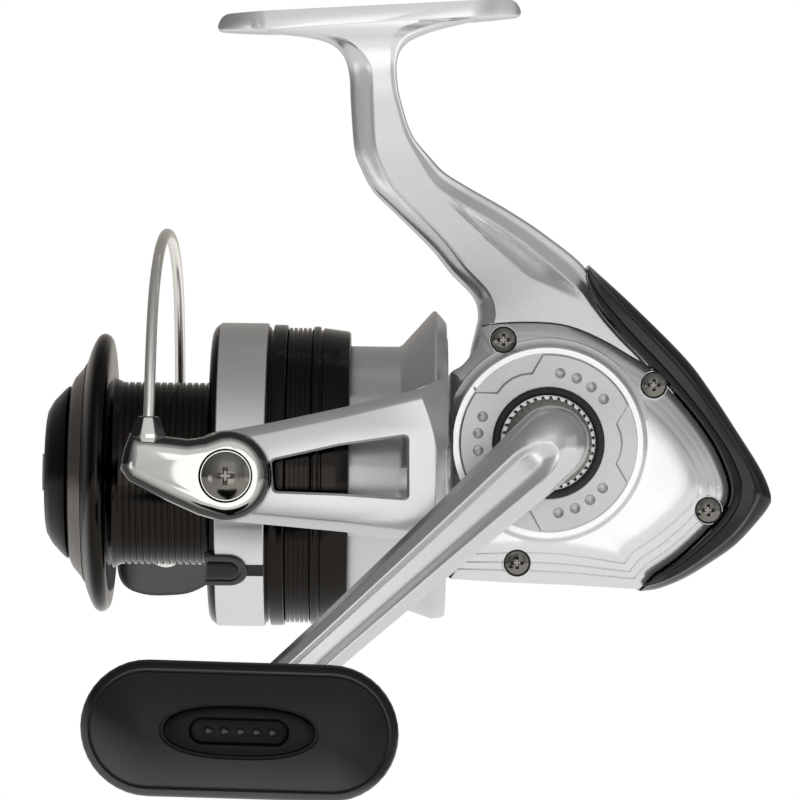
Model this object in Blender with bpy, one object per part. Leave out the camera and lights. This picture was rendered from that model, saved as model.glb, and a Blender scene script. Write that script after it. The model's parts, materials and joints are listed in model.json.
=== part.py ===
"""Spinning reel, built as separate closed pieces in metres with +Z up.

The origin is the middle of the rod foot's flat top.  +X runs back, from the spool to the
rear of the body, -Y is the side that carries the handle.  Lengths below are millimetres.
"""

import math

import bmesh
import bpy
from mathutils import Matrix, Vector

MM = 0.001

# Main axes of the mechanism.
SPOOL_AXIS_Z = -101.0
CRANK_X = 39.0
CRANK_Z = -93.35
BAIL_PIVOT_X = -28.3
KNOB_X = -23.1
KNOB_Z = -150.1

# Running parts.
SHAFT_R = 2.0
PINION_BORE_R = 2.1
SLEEVE_R = 3.9
CRANK_R = 4.0
GEAR_TEETH = 49
PINION_TEETH = 10
CROSS_TEETH = 12
OSCILLATION_TEETH = 18
OSCILLATION_X = 49.6
OSCILLATION_Z = -103.95
GUIDE_ROD_R = 1.5
GUIDE_ROD_Y = 2.5
GUIDE_ROD_Z = -111.5
BEARING_R = 8.0
CLUTCH_R = 11.3

# Clearances.
FIT = 0.05
GAP = 0.3

# Spool, rotor and bail.
SKIRT_R = 32.7
ROTOR_R = 28.0
ARM_INNER_R = 34.2
ARM_OUTER_Y = 39.3
LEVER_IN_Y = 39.7
LEVER_OUT_Y = 44.5
ROLLER_X = -44.0
ROLLER_Z = -17.0
WIRE_R = 1.2

# Body depths, measured from the middle plane.
COVER_SEAT_Y = -13.0
COVER_FACE_Y = -19.5
BODY_FAR_Y = 19.5
GUARD_HALF = 17.2
RIM_HALF = 14.0
WALL = 3.0

# Side outlines as (x, z) points.
FOOT_SIDE = [
    (-33.1, -5.3), (-31.6, -2.0), (31.6, 2.0), (33.2, -1.2), (24.0, -2.6), (13.1, -5.0),
    (8.6, -6.6), (6.5, -9.2), (5.9, -13.0), (-4.3, -13.0), (-6.0, -9.0), (-10.2, -6.9),
    (-20.0, -5.6),
]
FOOT_PLAN = [(-33.3, 3.4), (-31.5, 5.6), (-27.0, 6.9), (-18.0, 7.5), (18.0, 7.5), (27.0, 6.9),
             (31.5, 5.6), (33.3, 3.4)]
STEM_SECTIONS = [
    ((-4.4, -7.6), (5.9, -7.6), 4.6),
    ((-3.8, -20.3), (7.0, -20.0), 4.6),
    ((-2.9, -30.2), (9.5, -27.3), 4.9),
    ((-1.4, -34.5), (13.5, -32.2), 5.2),
    ((1.4, -39.5), (16.8, -35.5), 5.6),
    ((5.9, -43.9), (22.2, -38.8), 6.2),
    ((13.7, -51.4), (30.1, -43.3), 7.4),
    ((18.4, -57.0), (38.3, -48.7), 8.8),
    ((23.4, -61.9), (47.0, -55.4), 10.6),
    ((24.3, -65.7), (51.0, -61.0), 12.6),
    ((23.7, -69.0), (54.0, -68.0), 14.4),
    ((22.5, -77.0), (56.0, -78.0), 15.0),
]
COVER_TOP = [(18.4, -75.6), (24.7, -68.1), (39.4, -67.9), (45.3, -69.1), (51.8, -72.0),
             (56.2, -74.5), (61.6, -77.1), (65.5, -79.7)]
GUARD_INNER = [(47.9, -58.7), (49.3, -61.5), (57.1, -69.2), (66.0, -78.4), (72.2, -87.1),
               (76.1, -94.9), (78.4, -99.8), (78.8, -102.5), (78.0, -106.3), (74.2, -111.3),
               (67.7, -117.4), (62.2, -121.4)]
GUARD_OUTER = [(47.6, -55.2), (57.0, -63.6), (68.2, -74.5), (73.8, -81.6), (79.4, -89.9),
               (85.0, -98.6), (87.2, -104.0), (86.8, -106.2), (84.3, -109.6), (79.7, -114.6),
               (74.3, -118.5), (68.8, -121.9), (63.3, -124.2), (59.4, -124.8)]
BODY_BOTTOM = [(59.2, -124.3), (44.1, -123.6), (30.2, -123.2), (18.4, -122.6)]
COVER_SCREWS = [(29.4, -71.6), (61.4, -80.8), (73.3, -107.2), (32.9, -118.9)]
GUARD_SCREW = (82.2, -104.5)

# Rotor arm outlines as (x, height above the spool axis).
ARM_TOP = [(-27.0, 9.6), (-19.8, 11.0), (-3.8, 14.6), (11.3, 18.6), (17.4, 21.3)]
NEAR_ARM_BOTTOM = [(17.4, -13.8), (7.6, -12.8), (-3.9, -11.4), (-19.8, -10.1), (-27.0, -9.6)]
FAR_ARM_BOTTOM = [(17.4, -6.8), (-18.0, -6.5), (-23.0, -7.6)]
NEAR_WINDOW = [(-19.0, 3.6), (-5.0, 6.9), (9.1, 8.7), (9.3, -4.2), (-18.4, -3.1)]
LEVER_OUTLINE = [(-29.5, 9.3), (-36.2, 7.5), (-40.6, 8.0), (-48.3, 8.6), (-49.6, 5.0), (-50.2, 1.1),
                 (-48.4, -1.5), (-40.0, -5.6), (-31.2, -9.2)]
BAIL_ARM_OUTLINE = [(-30.0, 8.4), (-40.0, 2.5), (-50.0, -7.0), (-54.4, -14.0), (-55.3, -22.6),
                    (-53.6, -27.0), (-49.0, -27.8), (-38.0, -27.0), (-32.8, -24.0), (-24.0, -7.4)]

# Lathe profiles as (position along the axis, radius).
SPOOL_LIP = [(-62.7, 14.2), (-62.7, 19.3), (-62.1, 20.5), (-59.6, 23.8), (-58.0, 27.9),
             (-57.2, 29.4), (-56.1, 30.0), (-55.0, 29.5), (-54.2, 28.3), (-53.8, 22.2),
             (-53.7, 20.6), (-52.2, 19.9)]
GROOVE_PITCH = 1.48
GROOVE_COUNT = 12
ARBOR_START_X = -52.0
ARBOR_R = 19.6
ARBOR_GROOVE_R = 19.15
SPOOL_SKIRT = [(-32.9, 19.8), (-32.7, 29.9), (-32.1, 32.0), (-31.5, 32.5), (-31.05, 32.5),
               (-31.05, 31.2), (-20.65, 31.2), (-20.65, 31.8), (-19.4, 31.8), (-19.2, 32.4),
               (-16.6, 32.4), (-16.4, 31.3)]
RIB_COUNT = 5
RIB_START_X = -16.1
RIB_R = 31.75
RIB_VALLEY_R = 31.3
SPOOL_REAR = [(-11.2, 32.1), (-9.4, 32.1), (-9.2, 31.5), (-8.5, 31.7), (-3.4, 31.2), (-3.0, 30.8),
              (-3.0, 28.7), (-29.0, 28.7), (-29.0, 17.0), (-47.5, 16.5), (-47.5, 8.0),
              (-28.5, 8.0), (-28.5, SHAFT_R + FIT), (-50.5, SHAFT_R + FIT), (-50.5, 14.2)]


# ---------------------------------------------------------------- materials and meshes

def make_material(name, colour, roughness, metallic):
    """A plain Principled material."""
    material = bpy.data.materials.new(name)
    material.use_nodes = True
    shader = material.node_tree.nodes["Principled BSDF"]
    shader.inputs["Base Color"].default_value = (*colour, 1.0)
    shader.inputs["Roughness"].default_value = roughness
    shader.inputs["Metallic"].default_value = metallic
    material.diffuse_color = (*colour, 1.0)
    return material


def make_object(name, points, faces):
    """A mesh object from points, with its faces turned outward; finish() scales it to metres."""
    mesh = bpy.data.meshes.new(name)
    mesh.from_pydata(points, [], faces)
    work = bmesh.new()
    work.from_mesh(mesh)
    bmesh.ops.remove_doubles(work, verts=work.verts, dist=0.001)
    bmesh.ops.recalc_face_normals(work, faces=work.faces)
    work.to_mesh(mesh)
    work.free()
    shape = bpy.data.objects.new(name, mesh)
    bpy.context.scene.collection.objects.link(shape)
    return shape


def loft(name, rings):
    """Join equal rings of points in order and close both ends."""
    count = len(rings[0])
    points = [p for ring in rings for p in ring]
    faces = []
    for level in range(len(rings) - 1):
        low = level * count
        for i in range(count):
            j = (i + 1) % count
            faces.append((low + i, low + j, low + count + j, low + count + i))
    faces.append(tuple(range(count)))
    faces.append(tuple(range(len(points) - count, len(points))))
    return make_object(name, points, faces)


def plate(name, outline, low_y, high_y):
    """A flat plate: an (x, z) outline carried from low_y to high_y."""
    return loft(name, [[(x, y, z) for x, z in outline] for y in (low_y, high_y)])


def at_axis(outline):
    """Turn heights above the spool axis into world heights."""
    return [(x, z + SPOOL_AXIS_Z) for x, z in outline]


def lathe_x(name, profile, segments, y=0.0, z=SPOOL_AXIS_Z):
    """Turn a closed (x, r) profile about a line along X; r = 0 points lie on the line."""
    return lathe(name, profile, segments, lambda a, r, c, s: (a, y + r * c, z + r * s))


def lathe_y(name, profile, segments, x, z):
    """Turn a closed (y, r) profile about a line along Y."""
    return lathe(name, profile, segments, lambda a, r, c, s: (x + r * c, a, z + r * s))


def lathe(name, profile, segments, place):
    """Turn a closed profile through a full circle."""
    points = []
    rings = []
    for along, radius in profile:
        if radius == 0.0:
            rings.append([len(points)] * segments)
            points.append(place(along, 0.0, 1.0, 0.0))
            continue
        rings.append(list(range(len(points), len(points) + segments)))
        for i in range(segments):
            angle = 2.0 * math.pi * i / segments
            points.append(place(along, radius, math.cos(angle), math.sin(angle)))
    faces = []
    for k, ring in enumerate(rings):
        following = rings[(k + 1) % len(rings)]
        pole = profile[k][1] == 0.0 or profile[(k + 1) % len(rings)][1] == 0.0
        if pole and profile[k][0] == profile[(k + 1) % len(rings)][0]:
            faces.append(tuple(ring if profile[k][1] else following))
            continue
        for i in range(segments):
            j = (i + 1) % segments
            corners = [ring[i], ring[j], following[j], following[i]]
            unique = list(dict.fromkeys(corners))
            if len(unique) > 2:
                faces.append(tuple(unique))
    return make_object(name, points, faces)


def rod_x(name, low, high, radius, segments, y=0.0, z=SPOOL_AXIS_Z):
    """A plain round bar along X."""
    return lathe_x(name, [(low, 0.0), (low, radius), (high, radius), (high, 0.0)], segments, y, z)


def rod_y(name, low, high, radius, segments, x, z):
    """A plain round bar along Y."""
    return lathe_y(name, [(low, 0.0), (low, radius), (high, radius), (high, 0.0)], segments, x, z)


def ring_x(name, low, high, inner, outer, segments):
    """A plain ring about the spool axis."""
    return lathe_x(name, [(low, inner), (low, outer), (high, outer), (high, inner)], segments)


def ring_y(name, low, high, inner, outer, segments, x, z):
    """A plain ring about a line along Y."""
    return lathe_y(name, [(low, inner), (low, outer), (high, outer), (high, inner)], segments, x, z)


def tube(name, path, radius, sides):
    """A round wire through the path's points."""
    path = [Vector(p) for p in path]
    side = Vector((1.0, 0.0, 0.0))
    rings = []
    for i, centre in enumerate(path):
        ahead = path[min(i + 1, len(path) - 1)] - path[max(i - 1, 0)]
        ahead.normalize()
        side = (side - ahead * side.dot(ahead)).normalized()
        up = ahead.cross(side)
        ring = []
        for k in range(sides):
            angle = 2.0 * math.pi * k / sides
            ring.append(tuple(centre + (side * math.cos(angle) + up * math.sin(angle)) * radius))
        rings.append(ring)
    return loft(name, rings)


def bake(shape):
    """Apply the modifiers of a shape."""
    graph = bpy.context.evaluated_depsgraph_get()
    mesh = bpy.data.meshes.new_from_object(shape.evaluated_get(graph))
    shape.modifiers.clear()
    shape.data = mesh


def combine(shape, other, operation):
    """Cut, join or intersect a shape with another one and drop the other one."""
    step = shape.modifiers.new(operation, "BOOLEAN")
    step.operation = operation
    step.solver = "EXACT"
    step.object = other
    bake(shape)
    bpy.data.objects.remove(other)
    return shape


def cut(shape, *cutters):
    for cutter in cutters:
        combine(shape, cutter, "DIFFERENCE")
    return shape


def join(shape, *others):
    for other in others:
        combine(shape, other, "UNION")
    return shape


def round_edges(shape, width, segments, angle=40.0):
    """Round the sharp edges of a shape."""
    step = shape.modifiers.new("bevel", "BEVEL")
    step.width = width
    step.segments = segments
    step.limit_method = "ANGLE"
    step.angle_limit = math.radians(angle)
    bake(shape)
    return shape


def offset(points, distance, closed):
    """Move an (x, z) line sideways: positive to the left of its direction."""
    moved = []
    count = len(points)
    for i, (x, z) in enumerate(points):
        before = points[i - 1] if closed or i > 0 else points[i]
        after = points[(i + 1) % count] if closed or i < count - 1 else points[i]
        first = Vector((x - before[0], z - before[1]))
        second = Vector((after[0] - x, after[1] - z))
        first = first.normalized() if first.length else second.normalized()
        second = second.normalized() if second.length else first
        bisector = (first + second).normalized()
        normal = Vector((-bisector.y, bisector.x))
        stretch = 1.0 / max(0.5, normal.dot(Vector((-first.y, first.x))))
        moved.append((x + normal.x * distance * stretch, z + normal.y * distance * stretch))
    return moved


def finish(shape, material, origin=None):
    """Give a piece its material, shading and origin."""
    shape.data.transform(Matrix.Scale(MM, 4))
    shape.data.materials.clear()
    shape.data.materials.append(material)
    for face in shape.data.polygons:
        face.material_index = 0
    shape.data.shade_smooth()
    shape.data.set_sharp_from_angle(angle=math.radians(35.0))
    if origin:
        point = Vector(origin) * MM
        shape.data.transform(Matrix.Translation(-point))
        shape.location = point
    return shape


# ---------------------------------------------------------------- body

def body_outline():
    """The full-depth part of the body, inside the guard's inner edge."""
    rear = [p for p in GUARD_INNER if p[1] < COVER_TOP[-1][1] - 2.0]
    return COVER_TOP + offset(rear, -0.4, False) + BODY_BOTTOM


def guard_outline():
    return GUARD_OUTER + list(reversed(GUARD_INNER))


def rim_outline(gap):
    """The thinner rear rim that the guard wraps, at a gap inside the guard's outer edge."""
    return [(30.0, -66.0)] + offset(GUARD_OUTER, -gap, False) + [(59.0, -118.0), (30.0, -118.0)]


def stem_ring(front, rear, half):
    """A rounded cross-section of the stem, with a soft front edge and a tighter rear edge."""
    front = Vector((front[0], 0.0, front[1]))
    rear = Vector((rear[0], 0.0, rear[1]))
    length = (rear - front).length
    along = (rear - front) / length
    shares = [(0.0, 0.0), (0.6, 0.5), (2.0, 0.8), (4.5, 1.0), (length - 1.8, 1.0),
              (length - 0.5, 0.8), (length, 0.45)]
    ring = []
    for distance, depth in shares:
        ring.append(tuple(front + along * distance + Vector((0.0, -half * depth, 0.0))))
    for distance, depth in reversed(shares[1:]):
        ring.append(tuple(front + along * distance + Vector((0.0, half * depth, 0.0))))
    return ring


def make_foot():
    foot = plate("foot", FOOT_SIDE, -7.5, 7.5)
    outline = [(x, y) for x, y in FOOT_PLAN] + [(x, -y) for x, y in reversed(FOOT_PLAN)]
    plan = loft("foot_plan", [[(x, y, z) for x, y in outline] for z in (-20.0, 10.0)])
    combine(foot, plan, "INTERSECT")
    return foot


def make_housing(material):
    """Foot, stem and body shell in one casting, open on the handle side."""
    housing = plate("housing", body_outline(), COVER_SEAT_Y, BODY_FAR_Y)
    round_edges(housing, 2.6, 2, 60.0)
    rim = plate("rim", rim_outline(1.6), -RIM_HALF, RIM_HALF)
    round_edges(rim, 1.0, 1, 60.0)
    stem = loft("stem", [stem_ring(*section) for section in STEM_SECTIONS])
    boss = rod_x("boss", 1.0, 20.0, 14.5, 32)
    guard_room = plate("guard_room", offset(guard_outline(), GAP, True), -30.0, 30.0)
    join(housing, stem)
    cut(housing, guard_room)
    join(housing, rim, make_foot(), boss)
    seat = plate("seat", offset(body_outline(), GAP, True), COVER_SEAT_Y - 12.0, COVER_SEAT_Y)
    cavity = plate("cavity", offset(body_outline(), -WALL, True), -16.0, BODY_FAR_Y - WALL)
    gear_room = rod_y("gear_room", -16.0, -2.8, 20.1, 48, CRANK_X, CRANK_Z)
    cut(housing, seat, cavity, gear_room)
    bearing_wall = ring_y("bearing_wall", 12.6, 17.0, 5.0, 10.5, 24, CRANK_X, CRANK_Z)
    post = lathe_y("post", [(7.9, 0.0), (7.9, 1.9), (12.2, 1.9), (12.2, 4.0), (17.0, 4.0),
                            (17.0, 0.0)], 16, OSCILLATION_X, OSCILLATION_Z)
    join(housing, bearing_wall, post)
    cut(
        housing,
        lathe_y("far_seat", [(11.0, 0.0), (11.0, BEARING_R + FIT), (16.9, BEARING_R + FIT),
                             (16.9, CRANK_R + 0.5), (22.0, CRANK_R + 0.5), (22.0, 0.0)],
                24, CRANK_X, CRANK_Z),
        lathe_x("nose_seats", [(0.0, 0.0), (0.0, CLUTCH_R + FIT), (8.6, CLUTCH_R + FIT),
                               (8.6, BEARING_R + FIT), (14.0, BEARING_R + FIT), (14.0, 4.7),
                               (22.0, 4.7), (22.0, 0.0)], 24),
        rod_x("guide_hole", 19.2, 72.0, GUIDE_ROD_R + FIT, 12, GUIDE_ROD_Y, GUIDE_ROD_Z),
    )
    for x, z in COVER_SCREWS:
        cut(housing, rod_y("tap", COVER_SEAT_Y - 1.0, COVER_SEAT_Y + 6.0, 1.25, 12, x, z))
    cut(housing, rod_y("guard_tap", 8.0, 18.0, 1.05, 10, *GUARD_SCREW))
    return finish(housing, material)


def make_side_cover(material):
    """The cover that closes the gear case and carries the near crank bearing."""
    cover = plate("side_cover", offset(body_outline(), -GAP, True), COVER_FACE_Y, COVER_SEAT_Y - 0.05)
    round_edges(cover, 1.6, 2, 60.0)
    raised = lathe_y("raised", [(-21.6, 0.0), (-21.6, 20.0), (-20.9, 20.7), (-18.0, 20.7),
                                (-18.0, 0.0)], 40, CRANK_X, CRANK_Z)
    join(cover, raised)
    hollow = plate("hollow", offset(body_outline(), -WALL - GAP, True), -16.4, -10.0)
    cut(cover, hollow)
    join(cover, ring_y("bearing_wall", -17.0, -14.6, 5.0, 10.5, 24, CRANK_X, CRANK_Z))
    for x, z in COVER_SCREWS:
        post = rod_y("screw_post", -17.0, COVER_SEAT_Y - 0.05, 3.4, 16, x, z)
        room = plate("room", offset(body_outline(), -2.0 * GAP, True), -20.0, 0.0)
        join(cover, combine(post, room, "INTERSECT"))
    cut(cover, lathe_y("bores", [(-24.0, 0.0), (-24.0, 18.8 + GAP), (-19.6, 18.8 + GAP),
                                 (-19.6, CRANK_R + 0.5), (-18.4, CRANK_R + 0.5),
                                 (-18.4, BEARING_R + FIT), (-13.0, BEARING_R + FIT),
                                 (-13.0, 0.0)], 40, CRANK_X, CRANK_Z))
    for x, z in COVER_SCREWS:
        cut(cover, lathe_y("screw_hole", [(-22.0, 0.0), (-22.0, 2.7), (-17.6, 2.7), (-17.6, 1.3),
                                          (-10.0, 1.3), (-10.0, 0.0)], 14, x, z))
    return finish(cover, material)


def make_side_plate(material):
    """Round trim plate with three groups of dimples and three notches."""
    plate_part = lathe_y(
        "side_plate",
        [(-23.2, 12.1), (-23.2, 18.0), (-22.6, 18.8), (-19.7, 18.8), (-19.7, 12.1)],
        36, CRANK_X, CRANK_Z,
    )
    for group in (60.0, 180.0, 300.0):
        for step in (-21.0, -7.0, 7.0, 21.0):
            angle = math.radians(group + step)
            x = CRANK_X + 14.9 * math.cos(angle)
            z = CRANK_Z + 14.9 * math.sin(angle)
            cut(plate_part, rod_y("dimple", -24.0, -22.5, 1.05, 10, x, z))
    for middle in (0.0, 120.0, 240.0):
        corners = []
        for turn, radius in ((-16.5, 14.8), (16.5, 14.8), (27.5, 19.6), (0.0, 22.0), (-27.5, 19.6)):
            angle = math.radians(middle + turn)
            corners.append((CRANK_X + radius * math.cos(angle), CRANK_Z + radius * math.sin(angle)))
        cut(plate_part, plate("notch", corners, -24.0, -21.6))
    return finish(plate_part, material)


def make_screw(name, material, x, z, face, depth, head_r, shank_r, towards):
    """A pan head screw along Y with a cross slot; its head looks along -Y times towards."""
    head = 1.5
    profile = [(0.0, 0.0), (0.0, head_r * 0.7), (0.5, head_r), (head, head_r), (head, shank_r),
               (depth, shank_r), (depth, 0.0)]
    screw = lathe_y(name, [(face + towards * a, r) for a, r in profile], 12, x, z)
    for wide, tall in ((head_r * 0.55, 0.35), (0.35, head_r * 0.55)):
        corners = [(x - wide, z - tall), (x + wide, z - tall),
                   (x + wide, z + tall), (x - wide, z + tall)]
        low, high = sorted((face - towards * 1.0, face + towards * 0.8))
        cut(screw, plate("slot", corners, low, high))
    return finish(screw, material)


def make_guard(material):
    """The black guard that wraps the rear edge of the body like a channel."""
    guard = plate("rear_guard", guard_outline(), -GUARD_HALF, GUARD_HALF)
    round_edges(guard, 1.0, 2, 60.0)
    channel = plate("channel", rim_outline(1.3), -RIM_HALF - GAP, RIM_HALF + GAP)
    hole = lathe_y("guard_hole", [(10.0, 0.0), (10.0, 1.25), (15.9, 1.25), (15.9, 2.3), (20.0, 2.3),
                                  (20.0, 0.0)], 16, *GUARD_SCREW)
    cut(guard, channel, hole)
    return finish(guard, material)


def grooved_ring(low, high, inner, outer):
    """Ring profile with a sunk shield in its front face."""
    third = (outer - inner) / 3.0
    return [(low, inner), (low, inner + third), (low + 0.3, inner + third),
            (low + 0.3, outer - third), (low, outer - third), (low, outer), (high, outer),
            (high, inner)]


# ---------------------------------------------------------------- gears

def toothed_outline(teeth, root, tip, share, phase):
    """Corner points (x, z) of a spur gear about the origin; phase turns a tooth off +X."""
    points = []
    for tooth in range(teeth):
        middle = 2.0 * math.pi * tooth / teeth + phase
        pitch = 2.0 * math.pi / teeth
        for radius, part in ((root, -share), (tip, -share * 0.55), (tip, share * 0.55), (root, share)):
            angle = middle + pitch * part
            points.append((radius * math.cos(angle), radius * math.sin(angle)))
    return points


def make_drive_gear(material):
    """Face gear: straight teeth on its far face, set tangent to the pinion's offset."""
    gear = lathe_y(
        "drive_gear",
        [(-13.6, CRANK_R + FIT), (-13.6, 7.0), (-9.0, 7.0), (-7.6, 19.7), (-4.6, 19.7),
         (-4.6, 16.8), (-6.4, 16.2), (-6.4, CRANK_R + FIT)],
        GEAR_TEETH, CRANK_X, CRANK_Z,
    )
    drop = CRANK_Z - SPOOL_AXIS_Z
    points = []
    faces = []
    for tooth in range(GEAR_TEETH):
        turn = Matrix.Rotation(2.0 * math.pi * tooth / GEAR_TEETH, 3, "Y")
        first = len(points)
        for y, half in ((-4.8, 0.50), (-3.3, 0.20)):
            for x, side in ((-18.1, -1), (-15.6, -1), (-15.6, 1), (-18.1, 1)):
                width = half * abs(x) / 17.0
                point = turn @ Vector((x, 0.0, -drop + side * width))
                points.append((point.x + CRANK_X, y, point.z + CRANK_Z))
        faces.append([first, first + 1, first + 2, first + 3])
        faces.append([first + 4, first + 5, first + 6, first + 7])
        for i in range(4):
            j = (i + 1) % 4
            faces.append([first + i, first + j, first + 4 + j, first + 4 + i])
    join(gear, make_object("gear_teeth", points, faces))
    return finish(gear, material, (CRANK_X, 0.0, CRANK_Z))


def make_pinion(material):
    """Ten-tooth pinion on a long sleeve that carries the rotor."""
    phase = math.pi / PINION_TEETH - 0.5 * math.pi
    outline = toothed_outline(PINION_TEETH, 2.9, 3.85, 0.19, phase)
    rings = []
    for x in (19.4, 24.6):
        rings.append([(x, b, a + SPOOL_AXIS_Z) for a, b in outline])
    pinion = loft("pinion_gear", rings)
    join(pinion, rod_x("sleeve", -19.0, 19.8, SLEEVE_R, 24), rod_x("rear_collar", 24.0, 27.0, 3.3, 24))
    cut(pinion, rod_x("pinion_bore", -22.0, 30.0, PINION_BORE_R, 20))
    return finish(pinion, material, (0.0, 0.0, SPOOL_AXIS_Z))


def spur_gear(name, material, teeth, x, z, phase, bore, low, high):
    outline = toothed_outline(teeth, teeth / 2.0 - 1.15, teeth / 2.0 + 0.75, 0.2, phase)
    gear = plate(name, [(x + a, z + b) for a, b in outline], low, high)
    cut(gear, rod_y("gear_bore", low - 2.0, high + 2.0, bore, 20, x, z))
    return gear


def make_oscillation_gears(material):
    """The gear on the crank and the slower gear with the pin that drives the slider."""
    direction = math.atan2(OSCILLATION_Z - CRANK_Z, OSCILLATION_X - CRANK_X)
    cross = spur_gear("cross_gear", material, CROSS_TEETH, CRANK_X, CRANK_Z, direction,
                      CRANK_R + FIT, 8.5, 11.5)
    finish(cross, material, (CRANK_X, 0.0, CRANK_Z))
    half_pitch = math.pi / OSCILLATION_TEETH
    gear = spur_gear("oscillation_gear", material, OSCILLATION_TEETH, OSCILLATION_X, OSCILLATION_Z,
                     direction + math.pi + half_pitch, 2.0, 8.5, 11.5)
    join(gear, rod_y("drive_pin", 7.4, 9.0, 1.2, 10, OSCILLATION_X + 5.2, OSCILLATION_Z))
    finish(gear, material, (OSCILLATION_X, 0.0, OSCILLATION_Z))


# ---------------------------------------------------------------- crank and handle

def make_crank(metal, steel):
    shaft = lathe_y(
        "crank_shaft",
        [(-44.5, 0.0), (-44.5, 3.4), (-44.0, CRANK_R), (22.4, CRANK_R), (22.9, 3.5), (22.9, 0.0)],
        24, CRANK_X, CRANK_Z,
    )
    finish(shaft, steel, (CRANK_X, 0.0, CRANK_Z))
    outline = toothed_outline(24, 9.2, 9.8, 0.25, 0.0)
    collar = plate("handle_collar", [(CRANK_X + a, CRANK_Z + b) for a, b in outline], -26.2, -20.4)
    cut(collar, rod_y("collar_bore", -30.0, -18.0, CRANK_R + FIT, 24, CRANK_X, CRANK_Z))
    finish(collar, metal, (CRANK_X, 0.0, CRANK_Z))
    cap = lathe_y(
        "handle_cap",
        [(20.2, CRANK_R + FIT), (20.2, 8.2), (20.8, 8.8), (24.0, 8.4), (25.0, 7.2), (25.0, 0.0),
         (23.1, 0.0), (23.1, CRANK_R + FIT)],
        32, CRANK_X, CRANK_Z,
    )
    finish(cap, metal, (CRANK_X, 0.0, CRANK_Z))


def make_handle_arm(material):
    """Tapered handle arm that slopes outward from its hub to the knob."""
    direction = Vector((KNOB_X - CRANK_X, KNOB_Z - CRANK_Z))
    reach = direction.length
    direction.normalize()
    across = Vector((-direction.y, direction.x))
    half_widths = [(0.0, 7.4), (12.0, 7.3), (30.0, 6.2), (50.0, 5.5), (reach, 4.9)]
    outline = []
    for i in range(9):
        angle = math.pi * i / 8.0
        outline.append((-7.4 * math.sin(angle), -7.4 * math.cos(angle)))
    outline += [(s, w) for s, w in half_widths[1:]]
    for i in range(1, 7):
        angle = math.pi * i / 7.0
        outline.append((reach + 4.9 * math.sin(angle), 4.9 * math.cos(angle)))
    outline += [(s, -w) for s, w in reversed(half_widths[1:])]
    rings = []
    for face, spread in ((-50.0, 0.86), (-49.0, 1.0), (-44.6, 1.0), (-43.9, 0.88)):
        ring = []
        for s, w in outline:
            x = CRANK_X + direction.x * s + across.x * w * spread
            z = CRANK_Z + direction.y * s + across.y * w * spread
            ring.append((x, face - 12.4 * s / reach, z))
        rings.append(ring)
    arm = loft("handle_arm", rings)
    hub = lathe_y("hub", [(-47.0, 0.0), (-47.0, 6.6), (-34.0, 6.2), (-28.0, 8.2), (-26.5, 8.2),
                          (-26.5, 0.0)], 32, CRANK_X, CRANK_Z)
    join(arm, hub)
    cut(
        arm,
        rod_y("hub_bore", -44.8, -20.0, CRANK_R + FIT, 24, CRANK_X, CRANK_Z),
        rod_y("axle_bore", -70.0, -40.0, 2.5 + FIT, 20, KNOB_X, KNOB_Z),
    )
    channel = []
    for s, w in ((6.0, 2.6), (76.0, 1.5), (76.0, -1.5), (6.0, -2.6)):
        channel.append((CRANK_X + direction.x * s + across.x * w,
                        CRANK_Z + direction.y * s + across.y * w))
    low = [(x, -49.3 - 12.4 * s / reach, z) for (x, z), s in zip(channel, (6.0, 76.0, 76.0, 6.0))]
    high = [(x, y - 4.0, z) for x, y, z in low]
    cut(arm, loft("channel", [high, low]))
    return finish(arm, material, (CRANK_X, 0.0, CRANK_Z))


def stadium(width, height, y, tilt=0.0, sides=8):
    """A ring with straight long sides and round ends, centred on the knob axis."""
    radius = height / 2.0
    reach = width / 2.0 - radius
    ring = []
    for end in (1, -1):
        for i in range(sides + 1):
            angle = math.pi * (i / sides - 0.5)
            x = end * (reach + radius * math.cos(angle))
            z = end * radius * math.sin(angle)
            ring.append((KNOB_X + x, y, KNOB_Z + z + x * tilt))
    return ring


def make_knob(black, gloss, steel):
    """T-bar grip turning on its axle, with an inlay that closes the outer end."""
    sections = [(12.0, 11.9, -63.6), (11.0, 10.9, -66.0), (13.0, 12.4, -70.5), (24.0, 15.8, -76.0),
                (44.0, 20.6, -82.5), (57.5, 25.2, -90.0), (62.0, 26.7, -96.5), (62.0, 26.7, -98.6),
                (60.4, 25.1, -100.0)]
    knob = loft("handle_knob", [stadium(*section) for section in sections])
    eye = []
    for i in range(24):
        angle = 2.0 * math.pi * i / 24
        eye.append((KNOB_X + 15.4 * math.cos(angle), KNOB_Z + 5.4 * math.sin(angle)))
    axle_hole = lathe_y("axle_hole", [(-98.0, 0.0), (-98.0, 4.4), (-87.2, 4.4), (-87.2, 2.58),
                                      (-60.0, 2.58), (-60.0, 0.0)], 20, KNOB_X, KNOB_Z)
    cut(knob, axle_hole, plate("eye", eye, -104.0, -97.4))
    finish(knob, black, (KNOB_X, 0.0, KNOB_Z))
    eye = [(KNOB_X + (x - KNOB_X) * 0.975, KNOB_Z + (z - KNOB_Z) * 0.955) for x, z in eye]
    inlay = plate("knob_inlay", eye, -100.2, -97.6)
    finish(inlay, gloss, (KNOB_X, 0.0, KNOB_Z))
    axle = lathe_y(
        "knob_axle",
        [(-90.4, 0.0), (-90.4, 3.6), (-88.0, 3.6), (-88.0, 2.5), (-55.6, 2.5), (-55.6, 3.6),
         (-54.6, 3.6), (-54.6, 0.0)],
        20, KNOB_X, KNOB_Z,
    )
    finish(axle, steel, (CRANK_X, 0.0, CRANK_Z))


# ---------------------------------------------------------------- rotor and bail

def boss_arc(start, end, radius, steps):
    """Points round the bail pivot, angles in degrees."""
    points = []
    for i in range(steps + 1):
        angle = math.radians(start + (end - start) * i / steps)
        points.append((BAIL_PIVOT_X + radius * math.cos(angle), radius * math.sin(angle)))
    return points


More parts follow.
